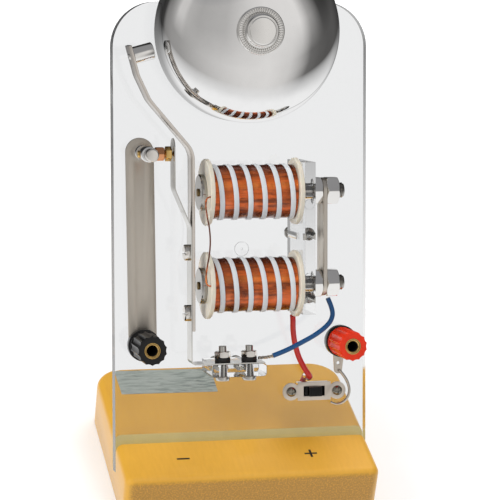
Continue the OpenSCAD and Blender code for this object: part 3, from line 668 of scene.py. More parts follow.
@dataclass(frozen=True)
class Finish:
    """A finish: a name and a material that is built once."""

    name: str
    colour: Colour
    roughness: float = 0.4

    def material(self) -> bpy.types.Material:
        """Returns the finish's material, and builds it the first time."""
        found = bpy.data.materials.get(self.name)
        if found:
            return found
        made = bpy.data.materials.new(self.name)
        made.use_nodes = True
        made.diffuse_color = (*self.colour, 1)
        g = Graph(made.node_tree)
        base = {"Base Color": (*self.colour, 1), "Roughness": self.roughness}
        shader = g.add("ShaderNodeBsdfPrincipled", base)
        place = g.add("ShaderNodeTexCoord").outputs["Object"]
        surface = self.detail(g, shader, place) or shader.outputs[0]
        g.add("ShaderNodeOutputMaterial", {"Surface": surface})
        return made

    def detail(self, g: Graph, shader: Node, place: Socket) -> Socket | None:
        """Adds the finish's own nodes.

        Args:
            g: the material's graph.
            shader: its Principled shader.
            place: the Object coordinates.

        Returns:
            The surface socket, where it isn't the shader's.
        """
        return None

    def rough(self, g: Graph, shader: Node, change: Socket, spread: float, least: float = 0.0) -> None:
        """Spreads the shader's roughness about the finish's own, not under a least value."""
        wide = g.math("MULTIPLY_ADD", change, spread, self.roughness - spread / 2)
        g.fill(shader, {"Roughness": g.math("MAXIMUM", wide, least) if least else wide})

    def bump(self, g: Graph, shader: Node, height: Socket, strength: float, distance: float) -> None:
        """Feeds a height into the shader's normal."""
        node = g.add("ShaderNodeBump", {"Strength": strength, "Distance": distance, "Height": height})
        g.fill(shader, {"Normal": node.outputs[0]})


@dataclass(frozen=True)
class Metal(Finish):
    """A metal with drawn marks, cloudy tarnish and fine scratches."""

    squeeze: Point = (1, 1, 1)
    tarnish: float = 0.12
    marks: float = 0.25
    scratch: float = 0.08

    def detail(self, g: Graph, shader: Node, place: Socket) -> None:
        """Adds marks to the roughness and bump, and tarnish to the colour."""
        drawn = g.effect(marks_group(), place, self.squeeze)
        cloud = g.effect(speckle_group(), place)[0]
        dull = shade(self.colour, 1 - 2.2 * self.tarnish)
        rough = g.math("MULTIPLY_ADD", drawn[0], self.marks, self.roughness - self.marks / 2)
        rough = g.math("MULTIPLY_ADD", drawn[1], self.scratch, rough)
        colour = g.mix(g.span(cloud, 0.35, 0.75), self.colour, dull)
        g.fill(shader, {"Metallic": 1.0, "Base Color": colour, "Roughness": g.math("MAXIMUM", rough, 0.015)})
        self.bump(g, shader, drawn[0], self.marks * 0.25, 0.00003)


@dataclass(frozen=True)
class Mirror(Finish):
    """Polished chrome, with faint polishing haze."""

    def detail(self, g: Graph, shader: Node, place: Socket) -> None:
        """Adds haze to the roughness."""
        spots = g.effect(speckle_group(), place)
        self.rough(g, shader, spots[0], 0.05, 0.01)
        colour = g.mix(spots[1], self.colour, shade(self.colour, 0.93))
        g.fill(shader, {"Metallic": 1.0, "Base Color": colour})


@dataclass(frozen=True)
class Plastic(Finish):
    """Moulded plastic with a fine texture, slight shade variation and an optional glow of thickness."""

    coat: float = 0.0
    texture: float = 0.15
    scatter: float = 0.0
    scale: float = 1500.0
    gloss: float = 0.5

    def detail(self, g: Graph, shader: Node, place: Socket) -> None:
        """Adds the moulded texture and shade variation."""
        spots = g.effect(speckle_group(), place, self.scale)
        light = tuple(min(1.0, c * 1.08 + 0.004) for c in self.colour)
        values = {
            "Coat Weight": self.coat,
            "Coat Roughness": 0.12,
            "Specular IOR Level": self.gloss,
            "Subsurface Weight": self.scatter,
            "Subsurface Radius": (1.0, 0.8, 0.6),
            "Subsurface Scale": 0.0012,
            "Base Color": g.mix(spots[0], shade(self.colour, 0.9), light),
        }
        g.fill(shader, values)
        self.rough(g, shader, spots[1], 0.16)
        self.bump(g, shader, spots[1], self.texture, 0.00004)


def mirrored_ray(g: Graph, path) -> Socket:
    """Returns 1 for a ray that a surface mirrored, and 0 for one that a clear piece bent."""
    return g.math("SUBTRACT", path["Is Glossy Ray"], path["Is Transmission Ray"])


@dataclass(frozen=True)
class Clear(Finish):
    """Clear acrylic, which lets most light through to what stands behind it."""

    haze: float = 0.02
    shadow: float = 0.98

    def detail(self, g: Graph, shader: Node, place: Socket) -> Socket:
        """Adds transmission, polishing marks and clear shadows."""
        cloud = g.effect(speckle_group(), place)[0]
        haze = g.math("MULTIPLY", cloud, self.haze)
        g.fill(shader, {"Transmission Weight": 1.0, "IOR": 1.49, "Roughness": haze})
        path = g.add("ShaderNodeLightPath").outputs
        tone = (self.shadow, self.shadow, self.shadow, 1)
        through = g.add("ShaderNodeBsdfTransparent", {"Color": tone}).outputs[0]
        share = g.math("MAXIMUM", path["Is Shadow Ray"], path["Is Diffuse Ray"])
        share = g.math("MAXIMUM", share, mirrored_ray(g, path))
        return g.blend(share, shader.outputs[0], through)


@dataclass(frozen=True)
class Wood(Finish):
    """Pale wood under a golden varnish: fine grain on top, and darker open end grain at the front, darkened
    further by painted shade and dotted with painted glints.
    """

    # end grain colour, darkened further as painted shade on the front and back faces
    end_grain_and_shade_colour: Colour = (0.5, 0.25, 0.028)
    coat: float = 0.35

    def detail(self, g: Graph, shader: Node, place: Socket) -> None:
        """Adds grain, end grain with painted shade and painted glints where a face looks to the front or
        back, and brush-out marks.
        """
        drawn = g.effect(marks_group(), place, (0.9, 0.12, 0.9), 900.0)[0]
        cloud = g.effect(speckle_group(), place, 160.0)[0]
        dark = (self.colour[0] * 0.86, self.colour[1] * 0.78, self.colour[2] * 0.6)
        board = g.mix(g.math("MULTIPLY", drawn, 0.75), shade(self.colour, 1.1), dark)
        board = g.mix(g.math("MULTIPLY", g.span(cloud, 0.4, 0.7), 0.3), board, dark)
        pores = g.noise(place, 1500.0, 3.0)
        # the pale flecks in the end grain are painted glints on the varnish; the same share raises the pores'
        # bump
        pore_and_glint = g.span(pores, 0.45, 0.7)
        end = g.mix(pore_and_glint, self.end_grain_and_shade_colour, shade(self.end_grain_and_shade_colour, 1.5))
        normal = g.add("ShaderNodeSeparateXYZ", {0: g.add("ShaderNodeTexCoord").outputs["Normal"]})
        # painted shade: faces that look to the front or back take the darker end grain colour, which also
        # stands for the lesser light there
        end_grain_and_shade_share = g.span(g.math("ABSOLUTE", normal.outputs["Y"]), 0.75, 0.98)
        colour = g.mix(end_grain_and_shade_share, board, end)
        g.fill(shader, {"Coat Weight": self.coat, "Coat Roughness": 0.18, "Base Color": colour})
        self.rough(g, shader, pores, 0.3)
        height = g.math("MULTIPLY_ADD", g.math("MULTIPLY", pore_and_glint, end_grain_and_shade_share), 1.5, drawn)
        self.bump(g, shader, height, 0.3, 0.00012)


@dataclass(frozen=True)
class Enamelled(Finish):
    """Varnished copper wire, whose shade changes a little from turn to turn.

    A painted highlight runs along each coil above its axis as a lighter orange band, and painted shade
    darkens its upper and lower rims.
    """

    pitch: float = 0.00036
    # dark colour of the varnish patches and darker turns, also used for the painted shade on the rims
    dark: Colour = (0.09, 0.014, 0.005)
    # colour of the painted highlight along each coil
    painted_highlight_colour: Colour = (1.0, 0.29, 0.05)
    axis_level: float = 0.0623
    axis_gap: float = 0.0354
    # height of the painted highlight over the axis, as a share of the gap between the axes
    painted_highlight_level: float = 0.085

    def detail(self, g: Graph, shader: Node, place: Socket) -> None:
        """Adds the change from turn to turn, patches where the varnish is thicker, a painted highlight band
        and painted shade on the rims.
        """
        turns = g.noise(g.scaled(place, (1 / self.pitch / 30, 20.0, 20.0)), 1.0, 9.0)
        spots = g.effect(speckle_group(), place, 420.0)
        streaks = g.effect(marks_group(), place, (0.1, 1.0, 1.0), 620.0)[0]
        both = g.math("MULTIPLY_ADD", streaks, 0.7, g.math("MULTIPLY", turns, 0.3))
        deep = tuple(0.2 * a + 0.8 * b for a, b in zip(self.colour, self.dark))
        colour = g.mix(g.span(both, 0.44, 0.6), self.colour, deep)
        rise = self.rise(g, place)
        # painted highlight: a lighter copper band above each coil's axis stands for the reflection of the
        # light
        band = g.math("ABSOLUTE", g.math("SUBTRACT", rise, self.painted_highlight_level))
        painted_highlight_share = g.math("MULTIPLY", g.span(band, 0.055, 0.01), g.math("MULTIPLY_ADD", spots[1], 2.0, -0.15))
        colour = g.mix(painted_highlight_share, colour, self.painted_highlight_colour)
        patch = g.math("MULTIPLY", g.span(spots[0], 0.55, 0.72), 0.5)
        # painted shade: the upper and lower rims of each coil darken towards the dark colour
        rim = g.math("MULTIPLY", g.span(g.math("ABSOLUTE", rise), 0.17, 0.27), 0.9)
        colour = g.mix(g.math("MAXIMUM", patch, rim), colour, self.dark)
        g.fill(shader, {"Metallic": 0.45, "Coat Weight": 0.6, "Coat Roughness": 0.12, "Base Color": colour})
        self.rough(g, shader, spots[1], 0.2)

    def rise(self, g: Graph, place: Socket) -> Socket:
        """Returns the height over the nearest coil's axis, as a share of the gap between the axes."""
        up = PANEL.matrix().to_3x3().normalized().col[1]
        start = self.axis_level + PANEL.point((0, 0, 0)).dot(up)
        level = g.add("ShaderNodeVectorMath", {0: place, 1: up}, operation="DOT_PRODUCT").outputs["Value"]
        steps = g.math("MULTIPLY_ADD", level, 1 / self.axis_gap, 0.5 - start / self.axis_gap)
        return g.math("SUBTRACT", g.math("FRACT", steps), 0.5)


@dataclass(frozen=True)
class WovenTape(Finish):
    """Narrow woven tape: threads along and across it, read from its own UV map."""

    threads: tuple[int, int] = (4, 9)

    def detail(self, g: Graph, shader: Node, place: Socket) -> None:
        """Adds the weave to the colour and bump."""
        uv = g.add("ShaderNodeSeparateXYZ", {0: g.add("ShaderNodeTexCoord").outputs["UV"]}).outputs
        weft, warp = (
            g.math("ABSOLUTE", g.math("SINE", g.math("MULTIPLY", uv[axis], math.pi * count)))
            for axis, count in zip("XY", self.threads)
        )
        weave = g.math("MULTIPLY", warp, weft)
        cloud = g.effect(speckle_group(), place)[0]
        dark = shade(self.colour, 0.78)
        base = g.mix(g.math("MULTIPLY_ADD", weave, 0.4, 0.6), dark, self.colour)
        base = g.mix(g.math("MULTIPLY", cloud, 0.25), base, dark)
        g.fill(shader, {"Sheen Weight": 0.25, "Base Color": base})
        self.bump(g, shader, weave, 0.35, 0.00006)


@dataclass(frozen=True)
class Foil(Finish):
    """A silvery foil with a plain rippled pattern and no words."""

    tint: Colour = (0.07, 0.12, 0.1)

    def detail(self, g: Graph, shader: Node, place: Socket) -> None:
        """Adds the ripples."""
        bent = g.noise(place, 60.0, 2.0)
        waves = g.noise(g.scaled(place, (60.0, 400.0, 1.0)), 2.2, 3.0, Distortion=1.2)
        share = g.math("MULTIPLY", g.span(waves, 0.45, 0.62), g.math("MULTIPLY_ADD", bent, 1.2, -0.2))
        g.fill(shader, {"Metallic": 0.35, "Base Color": g.mix(share, self.colour, self.tint)})
        self.bump(g, shader, waves, 0.1, 0.00005)


class Finishes:
    """The finishes of the bell, by what they are."""

    WOOD = Wood("golden_varnished_wood", (0.81, 0.435, 0.044), 0.42)
    RAW_WOOD = Plastic("bare_groove_wood", (0.95, 0.76, 0.3), 0.8, texture=0.5, scale=700.0)
    ACRYLIC = Clear("polished_acrylic", (0.84, 0.845, 0.85), 0.0)
    # the edges' dark tint is painted shade, for the dark lines that edges of clear acrylic show; the haze is
    # their own
    SAWN_EDGE_WITH_SHADE = Clear("sawn_acrylic_with_painted_shade", (0.1, 0.103, 0.106), 0.0, haze=0.3, shadow=0.7)
    CHROME = Mirror("mirror_chrome", (0.88, 0.88, 0.88), 0.03)
    NICKEL = Metal("satin_nickel", (0.78, 0.75, 0.71), 0.16, marks=0.12, tarnish=0.06)
    BRIGHT = Metal("bright_nickel", (0.84, 0.83, 0.81), 0.07, marks=0.06, tarnish=0.03)
    ZINC = Metal("zinc_plate", (0.66, 0.64, 0.6), 0.24, marks=0.16, tarnish=0.12)
    STRIP = Metal("rolled_strip", (0.66, 0.61, 0.54), 0.42, squeeze=(1.0, 0.3, 0.3), marks=0.08, tarnish=0.03)
    ARM = Metal("bright_strip", (0.74, 0.69, 0.64), 0.2, squeeze=(1.0, 0.3, 0.3), marks=0.1, tarnish=0.04)
    PRESSED = Metal("pressed_plate", (0.7, 0.63, 0.55), 0.3, marks=0.1, tarnish=0.06)
    SCREW = Metal("dark_screw", (0.3, 0.28, 0.24), 0.22, marks=0.15, tarnish=0.2)
    SPRING = Metal("spring_leaf", (0.72, 0.71, 0.68), 0.22, squeeze=(1.0, 0.08, 0.08), marks=0.16)
    IRON = Metal("turned_iron", (0.5, 0.48, 0.45), 0.15, marks=0.15, tarnish=0.15)
    BRASS = Metal("turned_brass", (0.8, 0.53, 0.19), 0.22, marks=0.15, tarnish=0.15)
    DULL_BRASS = Metal("dull_brass", (0.5, 0.36, 0.16), 0.4, marks=0.2, tarnish=0.2)
    COPPER_NUT = Metal("coppered_nut", (0.72, 0.33, 0.16), 0.24, marks=0.15)
    COPPER = Enamelled("enamelled_copper", (0.9, 0.2, 0.036), 0.24)
    IVORY = Plastic("ivory_moulding", (0.78, 0.72, 0.6), 0.42, scatter=0.25, coat=0.1)
    TAPE = WovenTape("woven_tape", (0.8, 0.83, 0.86), 0.75)
    BLACK = Plastic("black_moulding", (0.004, 0.004, 0.004), 0.2, texture=0.05, gloss=0.3)
    RED = Plastic("red_moulding", (0.82, 0.035, 0.006), 0.25, scatter=0.1, texture=0.05, gloss=0.3)
    FIBRE = Plastic("pressed_fibre", (0.012, 0.011, 0.011), 0.6, texture=0.4)
    BLUE_SLEEVE = Plastic("blue_sleeve", (0.0, 0.07, 0.22), 0.4, coat=0.15)
    RED_SLEEVE = Plastic("red_sleeve", (0.6, 0.02, 0.02), 0.4, coat=0.15)
    TINNED = Metal("bright_tinning", (0.66, 0.6, 0.52), 0.25, marks=0.15)
    FOIL = Foil("rippled_foil", (0.62, 0.68, 0.62), 0.35)
    INK = Plastic("black_ink", (0.012, 0.012, 0.014), 0.5)
    DARK_HOLE = Plastic("unlit_hole", (0.003, 0.0025, 0.002), 0.95)


# ---------------------------------------------------------------- stage

WHITE = (1.0, 1.0, 1.0, 1.0)

# Brightness of the bench that gloss shows, by its share of the way to the floor's edge.
BENCH = [(0.0, 1.0), (0.06, 0.98), (0.12, 0.86), (0.3, 0.74), (1.0, 0.6)]

# Brightness of the room that gloss shows, round from the left through the front, the right and the back:
# near the horizon, and higher up.
ROOM_LOW = [
    (0.0, 0.33), (0.07, 0.36), (0.125, 0.44), (0.2, 0.6), (0.26, 0.75), (0.3, 0.8),
    (0.335, 0.68), (0.355, 0.5), (0.385, 0.16), (0.42, 0.12), (0.46, 0.1), (0.52, 0.1),
    (0.62, 0.05), (0.82, 0.03), (0.87, 0.05), (0.92, 0.24), (1.0, 0.33),
]  # fmt: skip
ROOM_HIGH = [
    (0.0, 0.45), (0.03, 0.66), (0.075, 0.64), (0.1, 0.5), (0.16, 0.44), (0.24, 0.5),
    (0.3, 0.78), (0.36, 0.82), (0.39, 0.4), (0.42, 0.2), (0.445, 0.06), (0.5, 0.035),
    (0.62, 0.03), (0.85, 0.04), (0.93, 0.2), (1.0, 0.45),
]  # fmt: skip


@dataclass
class Studio:
    """The pale floor, the soft lamps, the surroundings and the camera."""

    floor_size: float = 6.0
    lens: float = 174.15
    camera_at: Point = (-0.2113, -0.7717, 0.5469)
    camera_right: Point = (0.9732, -0.2095, 0.0954)
    camera_up: Point = (0.0226, 0.4993, 0.8661)
    ambient: float = 0.5
    near_glow: float = 0.36

    def build(self) -> None:
        """Builds the whole stage."""
        bpy.context.scene.view_settings.view_transform = "Standard"
        self.camera()
        self.floor()
        self.surroundings()
        self.lamp("key", (-0.9, -0.2, 0.62), 0.5, 5.0)
        self.lamp("top_fill", (0.1, -0.25, 1.15), 0.6, 2.6)
        self.lamp("back_edge", (0.4, 0.6, 0.8), 0.5, 4.2)

    def camera(self) -> None:
        """Places the camera at the photograph's viewing angle."""
        lens = bpy.data.cameras.new("camera")
        lens.lens = self.lens
        lens.sensor_width = 36.0
        lens.clip_start = 0.01
        eye = bpy.data.objects.new("camera", lens)
        right, up = Vector(self.camera_right).normalized(), Vector(self.camera_up).normalized()
        turn = Matrix((right, up, right.cross(up))).transposed().to_4x4()
        eye.matrix_world = Matrix.Translation(self.camera_at) @ turn
        bpy.context.scene.collection.objects.link(eye)
        bpy.context.scene.camera = eye

    def lamp(self, name: str, at: Point, size: float, power: float) -> None:
        """Adds a soft lamp that looks at the bell.

        Args:
            name: the lamp's name.
            at: its place in metres.
            size: the side of its square in metres.
            power: its power in watts.
        """
        light = bpy.data.lights.new(name, "AREA")
        light.size = size
        light.energy = power
        stand = bpy.data.objects.new(name, light)
        away = Vector(at) - Vector((0, 0, 0.09))
        stand.matrix_world = Matrix.Translation(at) @ away.to_track_quat("Z", "Y").to_matrix().to_4x4()
        stand.visible_glossy = False
        bpy.context.scene.collection.objects.link(stand)

    def floor(self) -> None:
        """Lays the floor, which looks white and keeps the shadow."""
        deselect()
        bpy.ops.mesh.primitive_grid_add(x_subdivisions=8, y_subdivisions=8, size=self.floor_size)
        sheet = named("studio_floor")
        made = bpy.data.materials.new("pale_floor")
        made.use_nodes = True
        g = Graph(made.node_tree)
        path = g.add("ShaderNodeLightPath").outputs
        place = g.add("ShaderNodeTexCoord").outputs["Object"]
        away = g.add("ShaderNodeVectorMath", {0: place}, operation="LENGTH").outputs["Value"]
        surface = self.lit_floor(g, path, place, away)
        surface = g.blend(path["Is Transmission Ray"], surface, g.glow(WHITE))
        surface = g.blend(mirrored_ray(g, path), surface, g.glow(self.mirrored_floor(g, place, away)))
        g.add("ShaderNodeOutputMaterial", {"Surface": surface})
        sheet.data.materials.append(made)

    def lit_floor(self, g: Graph, path, place: Socket, away: Socket) -> Socket:
        """Gives the floor that lamps light: plain for its own light, and glowing where it is seen.

        Args:
            g: the floor's graph.
            path: the light path's outputs.
            place: the Object coordinates.
            away: the distance from the bell.

        Returns:
            The shader socket.
        """
        matt = g.mix(g.noise(place, 40.0, 4.0), (0.78, 0.78, 0.78), (0.8, 0.8, 0.8))
        plain = g.add("ShaderNodeBsdfDiffuse", {"Color": matt}).outputs[0]
        shaded = g.add("ShaderNodeBsdfDiffuse", {"Color": (0.7, 0.7, 0.7, 1)}).outputs[0]
        glow = g.glow(WHITE, g.span(away, 0.25, 0.8, self.near_glow))
        white = g.add("ShaderNodeAddShader", {0: shaded, 1: glow}).outputs[0]
        return g.blend(g.math("MAXIMUM", path["Is Camera Ray"], path["Is Transmission Ray"]), plain, white)

    def mirrored_floor(self, g: Graph, place: Socket, away: Socket) -> Socket:
        """Gives the bench that gloss shows, which darkens behind the bell with a painted shadow and fades
        into the room.

        Args:
            g: the floor's graph.
            place: the Object coordinates.
            away: the distance from the bell.

        Returns:
            The colour socket.
        """
        share = g.math("MULTIPLY", away, 1 / self.floor_size * 2)
        bench = g.ramp(share, [(at, (v, v, v)) for at, v in BENCH])
        back = g.add("ShaderNodeSeparateXYZ", {0: place}).outputs["Y"]
        # painted shadow: the bench darkens behind the bell, where the bell's own shadow falls
        bench = g.mix(g.span(back, 0.12, 0.5), bench, (0.06, 0.06, 0.06))
        return g.mix(g.span(away, 0.22, 0.9), bench, self.room(g, place, ROOM_LOW))

    def room(self, g: Graph, way: Socket, stops: list[Spot]) -> Socket:
        """Gives the room's brightness round the bell.

        Args:
            g: the graph to build in.
            way: the direction from the bell.
            stops: (share of the way round, brightness) pairs.

        Returns:
            The colour socket.
        """
        axes = g.add("ShaderNodeSeparateXYZ", {0: way}).outputs
        around = g.math("MULTIPLY_ADD", g.math("ARCTAN2", axes["Y"], axes["X"]), 0.5 / math.pi, 0.5)
        return g.ramp(around, [(at, (v, v * 0.98, v * 0.96)) for at, v in stops])

    def surroundings(self) -> None:
        """Makes the world white behind the bell, plain as light, and a dim room with a window for gloss."""
        world = bpy.data.worlds.new("studio_world")
        bpy.context.scene.world = world
        world.use_nodes = True
        g = Graph(world.node_tree)
        path = g.add("ShaderNodeLightPath").outputs
        way = g.add("ShaderNodeTexCoord").outputs["Generated"]
        rise = g.add("ShaderNodeSeparateXYZ", {0: way}).outputs["Z"]
        low, high = self.room(g, way, ROOM_LOW), self.room(g, way, ROOM_HIGH)
        room = g.mix(g.span(rise, 0.1, 0.42), low, high)
        room = g.mix(g.span(rise, 0.62, 0.8), room, (0.3, 0.3, 0.31))
        seen = g.math("MAXIMUM", path["Is Camera Ray"], path["Is Transmission Ray"])
        lit = g.mix(path["Is Glossy Ray"], (self.ambient, self.ambient, self.ambient), room)
        back = g.add("ShaderNodeBackground", {"Color": g.mix(seen, lit, WHITE), "Strength": 1.0})
        g.add("ShaderNodeOutputWorld", {"Surface": back.outputs[0]})


# ---------------------------------------------------------------- base and panel


@dataclass
class WoodenBase:
    """The varnished base with its groove, the bare strip behind the panel and the polarity marks."""

    wide: float = 100.0
    deep: float = 80.0
    high: float = 20.0
    rear_radius: float = 12.0
    front_radius: float = 4.0
    edge: float = 3.0
    groove_low: float = 11.0
    panel_thick: float = 6.0
    gap: float = 0.2
    saw_past: float = 5.0
    mark_long: float = 5.0
    mark_wide: float = 0.9

    def build(self) -> None:
        """Builds and finishes the base's pieces."""
        self.board()
        self.mark("minus_mark", (-25.5, -26.5), crossed=False)
        self.mark("plus_mark", (25.0, -26.5), crossed=True)

    def board(self) -> None:
        """Cuts the board's outline, rounds its edges and saws the groove."""
        x, y, panel = self.wide / 2, self.deep / 2, self.panel_thick
        corners = [(-x, -y), (x, -y), (x, y), (-x, y)]
        radii = [self.front_radius, self.front_radius, self.rear_radius, self.rear_radius]
        outline: Outline = []
        for i, (at, radius) in enumerate(zip(corners, radii)):
            centre = (at[0] - math.copysign(radius, at[0]), at[1] - math.copysign(radius, at[1]))
            outline += arc(centre, radius, 180 + 90 * i, 270 + 90 * i, 10)
        board = prism("varnished_base", outline, 0, self.high)
        self.round_rim(board, self.high, self.edge, 6)
        self.round_rim(board, 0, 0.6, 2)
        past, tall = x + self.saw_past, 2 * self.high
        slot = prism("slot", [(-past, 0), (past, 0), (past, tall), (-past, tall)], 0, panel + 2 * self.gap)
        low = Matrix.Translation((0, -self.groove_low, -panel - self.gap))
        slot.data.transform(Matrix.Scale(1 / MM, 4) @ PANEL.matrix() @ low)
        cut(board, slot)
        smooth(placed(board, WORLD_MM), 30)
        settle(board, Finishes.WOOD, instead_of=("wooden_base",))
        back = PANEL.matrix().inverted()
        board.data.materials.append(Finishes.RAW_WOOD.material())
        for face in board.data.polygons:
            at = back @ face.center
            near = -panel - 2 * self.gap < at.z < self.gap + 0.05 and at.y < 0.5
            if near and self.inside(face.normal):
                face.material_index = 1

    def inside(self, normal: Vector) -> bool:
        """Tells whether a face of the base looks the way that the groove's walls or its floor do."""
        return abs(normal.x) < 0.3 and abs(normal.z) < 0.99

    def round_rim(self, board: Piece, level: float, width: float, segments: int) -> None:
        """Rounds the board's rim at one level.

        Args:
            board: the board.
            level: the height of the rim.
            width: the rounding's radius.
            segments: its steps.
        """
        pick(board)
        mesh = board.data
        bpy.context.tool_settings.mesh_select_mode = (False, True, False)
        mesh.polygons.foreach_set("select", [False] * len(mesh.polygons))
        mesh.vertices.foreach_set("select", [False] * len(mesh.vertices))
        for edge in mesh.edges:
            edge.select = all(abs(mesh.vertices[v].co.z - level) < 0.01 for v in edge.vertices)
        bpy.ops.object.mode_set(mode="EDIT")
        bpy.ops.mesh.bevel(offset=width, segments=segments, profile=0.5, clamp_overlap=False)
        bpy.ops.object.mode_set(mode="OBJECT")

    def mark(self, name: str, at: Spot, crossed: bool) -> None:
        """Prints a plus or minus sign on the base.

        Args:
            name: the piece's name.
            at: where its middle goes on the base's top.
            crossed: whether it has its upright stroke.
        """
        long, wide = self.mark_long / 2, self.mark_wide / 2
        sizes = [(long, wide, 0.04)]
        if crossed:
            sizes.append((wide, long, 0.05))
        strokes = [prism(name, [(-x, -y), (x, -y), (x, y), (-x, y)], 0, high) for x, y, high in sizes]
        sign = joined(name, strokes)
        placed(sign, WORLD_MM @ Matrix.Translation((at[0], at[1], self.high)))
        settle(sign, Finishes.INK)


@dataclass
class ClearWork:
    """The clear panel, coil bracket and spring shelf, and the label foil behind the panel.

    Faces under smooth_area, in square metres, shade smooth. A bevel is a face under bevel_area that no
    axis of the panel meets square on.
    """

    edge: float = 0.35
    smooth_area: float = 2e-6
    bevel_area: float = 1e-4
    square_on: float = 0.98
    lift: float = 0.03
    foil_left: float = -42.0
    foil_right: float = -3.0
    foil_near: float = 20.0
    foil_far: float = 37.0
    base_high: float = 20.0

    def build(self) -> None:
        """Builds and finishes the clear pieces."""
        panel = cad_copy("polished_panel", "clear_panel", self.edge, 3)
        settle(panel, Finishes.ACRYLIC, instead_of=("clear_panel",))
        self.shaded_sawn_edges(panel, 0.5)
        off = PANEL.matrix() @ Matrix.Translation((0, 0, self.lift)) @ PANEL.matrix().inverted()
        for node in ("coil_bracket", "spring_shelf"):
            block = placed(cad_copy(f"polished_{node}", node, self.edge, 3), off)
            settle(block, Finishes.ACRYLIC, instead_of=(node,))
            self.shaded_sawn_edges(block, 0.0)
        self.foil()

    def shaded_sawn_edges(self, piece: Piece, flat: float) -> None:
        """Gives a clear piece's edges a duller finish with a painted shade, which shows them as grey lines.

        Args:
            piece: the clear piece.
            flat: side faces whose normal leans out of the panel less than this are dull, bevels always.
        """
        for face in piece.data.polygons:
            face.use_smooth = face.area < self.smooth_area
        # painted shade: the edges and bevels take the dark clear edge finish
        piece.data.materials.append(Finishes.SAWN_EDGE_WITH_SHADE.material())
        turn = PANEL.matrix().to_3x3().normalized().inverted()
        for face in piece.data.polygons:
            way = sorted(abs(x) for x in turn @ face.normal)
            bevelled = way[2] < self.square_on and face.area < self.bevel_area
            side = abs((turn @ face.normal).z) < flat
            if bevelled or side:
                face.material_index = 1

    def foil(self) -> None:
        """Lays the label foil, which carries no words, on the base behind the panel."""
        x0, x1, y0, y1 = self.foil_left, self.foil_right, self.foil_near, self.foil_far
        corners = [(x0, y0), (x1, y0 - 0.4), (x1 + 0.2, y1 - 0.3), (x0 - 0.3, y1)]
        sheet = prism("label_foil", corners, 0, 0.06)
        placed(sheet, WORLD_MM @ Matrix.Translation((0, 0, self.base_high + 0.02)))
        settle(sheet, Finishes.FOIL)


# ---------------------------------------------------------------- gong


@dataclass
class GongGroup:
    """The gong, its cap nut with a ring of beads, and its pillar."""

    at: Spot = (0.0, 158.5)
    radius: float = 34.75
    skirt: float = 10.0
    crown: float = 18.0
    shape: float = 2.4
    wall: float = 1.2
    stand_off: float = 4.0
    hole: float = 2.05
    nut_radius: float = 9.0
    disc_radius: float = 5.1
    nut_high: float = 4.6
    beads: int = 56
    bead_ring: float = 7.85
    bead_level: float = 1.62
    bead_radius: float = 0.34
    bead_stretch: float = 1.9

    def build(self) -> None:
        """Builds and finishes the gong's pieces."""
        self.bell()
        self.cap_nut()
        dress("turned_gong_pillar", "gong_pillar", Finishes.ZINC)
        dress("gong_back_bolt", "gong_bolt", Finishes.ZINC)
        dress("gong_back_washer", "gong_bolt_washer", Finishes.ZINC)

    def shell(self, inset: float, steps: int = 40) -> Outline:
        """Returns the gong's outer outline, or its inner one with an inset."""
        line: Outline = [(self.radius - inset, 0.0)]
        for k in range(steps + 1):
            a = math.pi / 2 * k / steps
            out = (self.radius - inset) * math.cos(a) ** (2 / self.shape) if k < steps else self.hole
            high = self.skirt + (self.crown - inset) * math.sin(a) ** (2 / self.shape)
            line.append((max(out, self.hole), high))
        return line

    def bell(self) -> None:
        """Spins the gong's wall."""
        outside, inside = self.shell(0), self.shell(self.wall)
        lip = [(self.radius - 0.25, 0.0), (self.radius, 0.3)]
        bell = lathe("chromed_gong", lip + outside[1:] + inside[::-1], 160)
        smooth(placed(bell, facing((*self.at, self.stand_off), (0, 0, 1))), 40)
        settle(bell, Finishes.CHROME, instead_of=("gong",))

    def cap_nut(self) -> None:
        """Turns the cap nut and sets its ring of beads."""
        r, d, h = self.nut_radius, self.disc_radius, self.nut_high
        profile = [(0, 0.02), (r - 0.35, 0.02), (r, 0.4), (r, 1.3), (r - 0.25, 1.62), (r - 0.5, 1.7)]
        profile += [(r - 0.6, 1.5), (d + 2.0, 1.5), (d + 1.9, 2.1), (d + 1.0, h - 0.45)]
        profile += [(d + 0.75, h - 0.1), (d + 0.35, h - 0.02)]
        profile += [(d + 0.2, h - 0.25), (d, h - 0.22), (d - 0.25, h), (0, h)]
        nut = soften(lathe("beaded_cap_nut", profile, 96), 0.07, 2, 25)
        deselect()
        bpy.ops.mesh.primitive_uv_sphere_add(segments=8, ring_count=6, radius=self.bead_radius)
        seat = Matrix.Translation((self.bead_ring, 0, self.bead_level))
        bead = placed(named("bead"), seat @ Matrix.Diagonal((self.bead_stretch, 1, 1, 1)))
        turns = [Matrix.Rotation(2 * math.pi * k / self.beads, 4, "Z") for k in range(1, self.beads)]
        nut = joined("beaded_cap_nut", [nut, bead, *(copied(bead, turn) for turn in turns)])
        top = self.stand_off + self.skirt + self.crown + 0.05
        smooth(placed(nut, facing((*self.at, top), (0, 0, 1))), 40)
        settle(nut, Finishes.BRIGHT, instead_of=("gong_cap_nut",))


# ---------------------------------------------------------------- electromagnet


def ridged(low: float, high: float, radius: float, pitch: float, deep: float) -> Outline:
    """Returns the outside of a threaded length, with its end edges turned down.

    Args:
        low: where the thread starts.
        high: where it ends.
        radius: its outer radius.
        pitch: the distance between ridges.
        deep: the depth between ridges.

    Returns:
        (radius, height) points from low to high.
    """
    count = max(1, round((high - low) / pitch))
    step = (high - low) / count
    line: Outline = [(radius - deep, low)]
    for k in range(count):
        start = low + k * step
        line += [(radius, start + 0.42 * step), (radius, start + 0.58 * step), (radius - deep, start + step)]
    return line


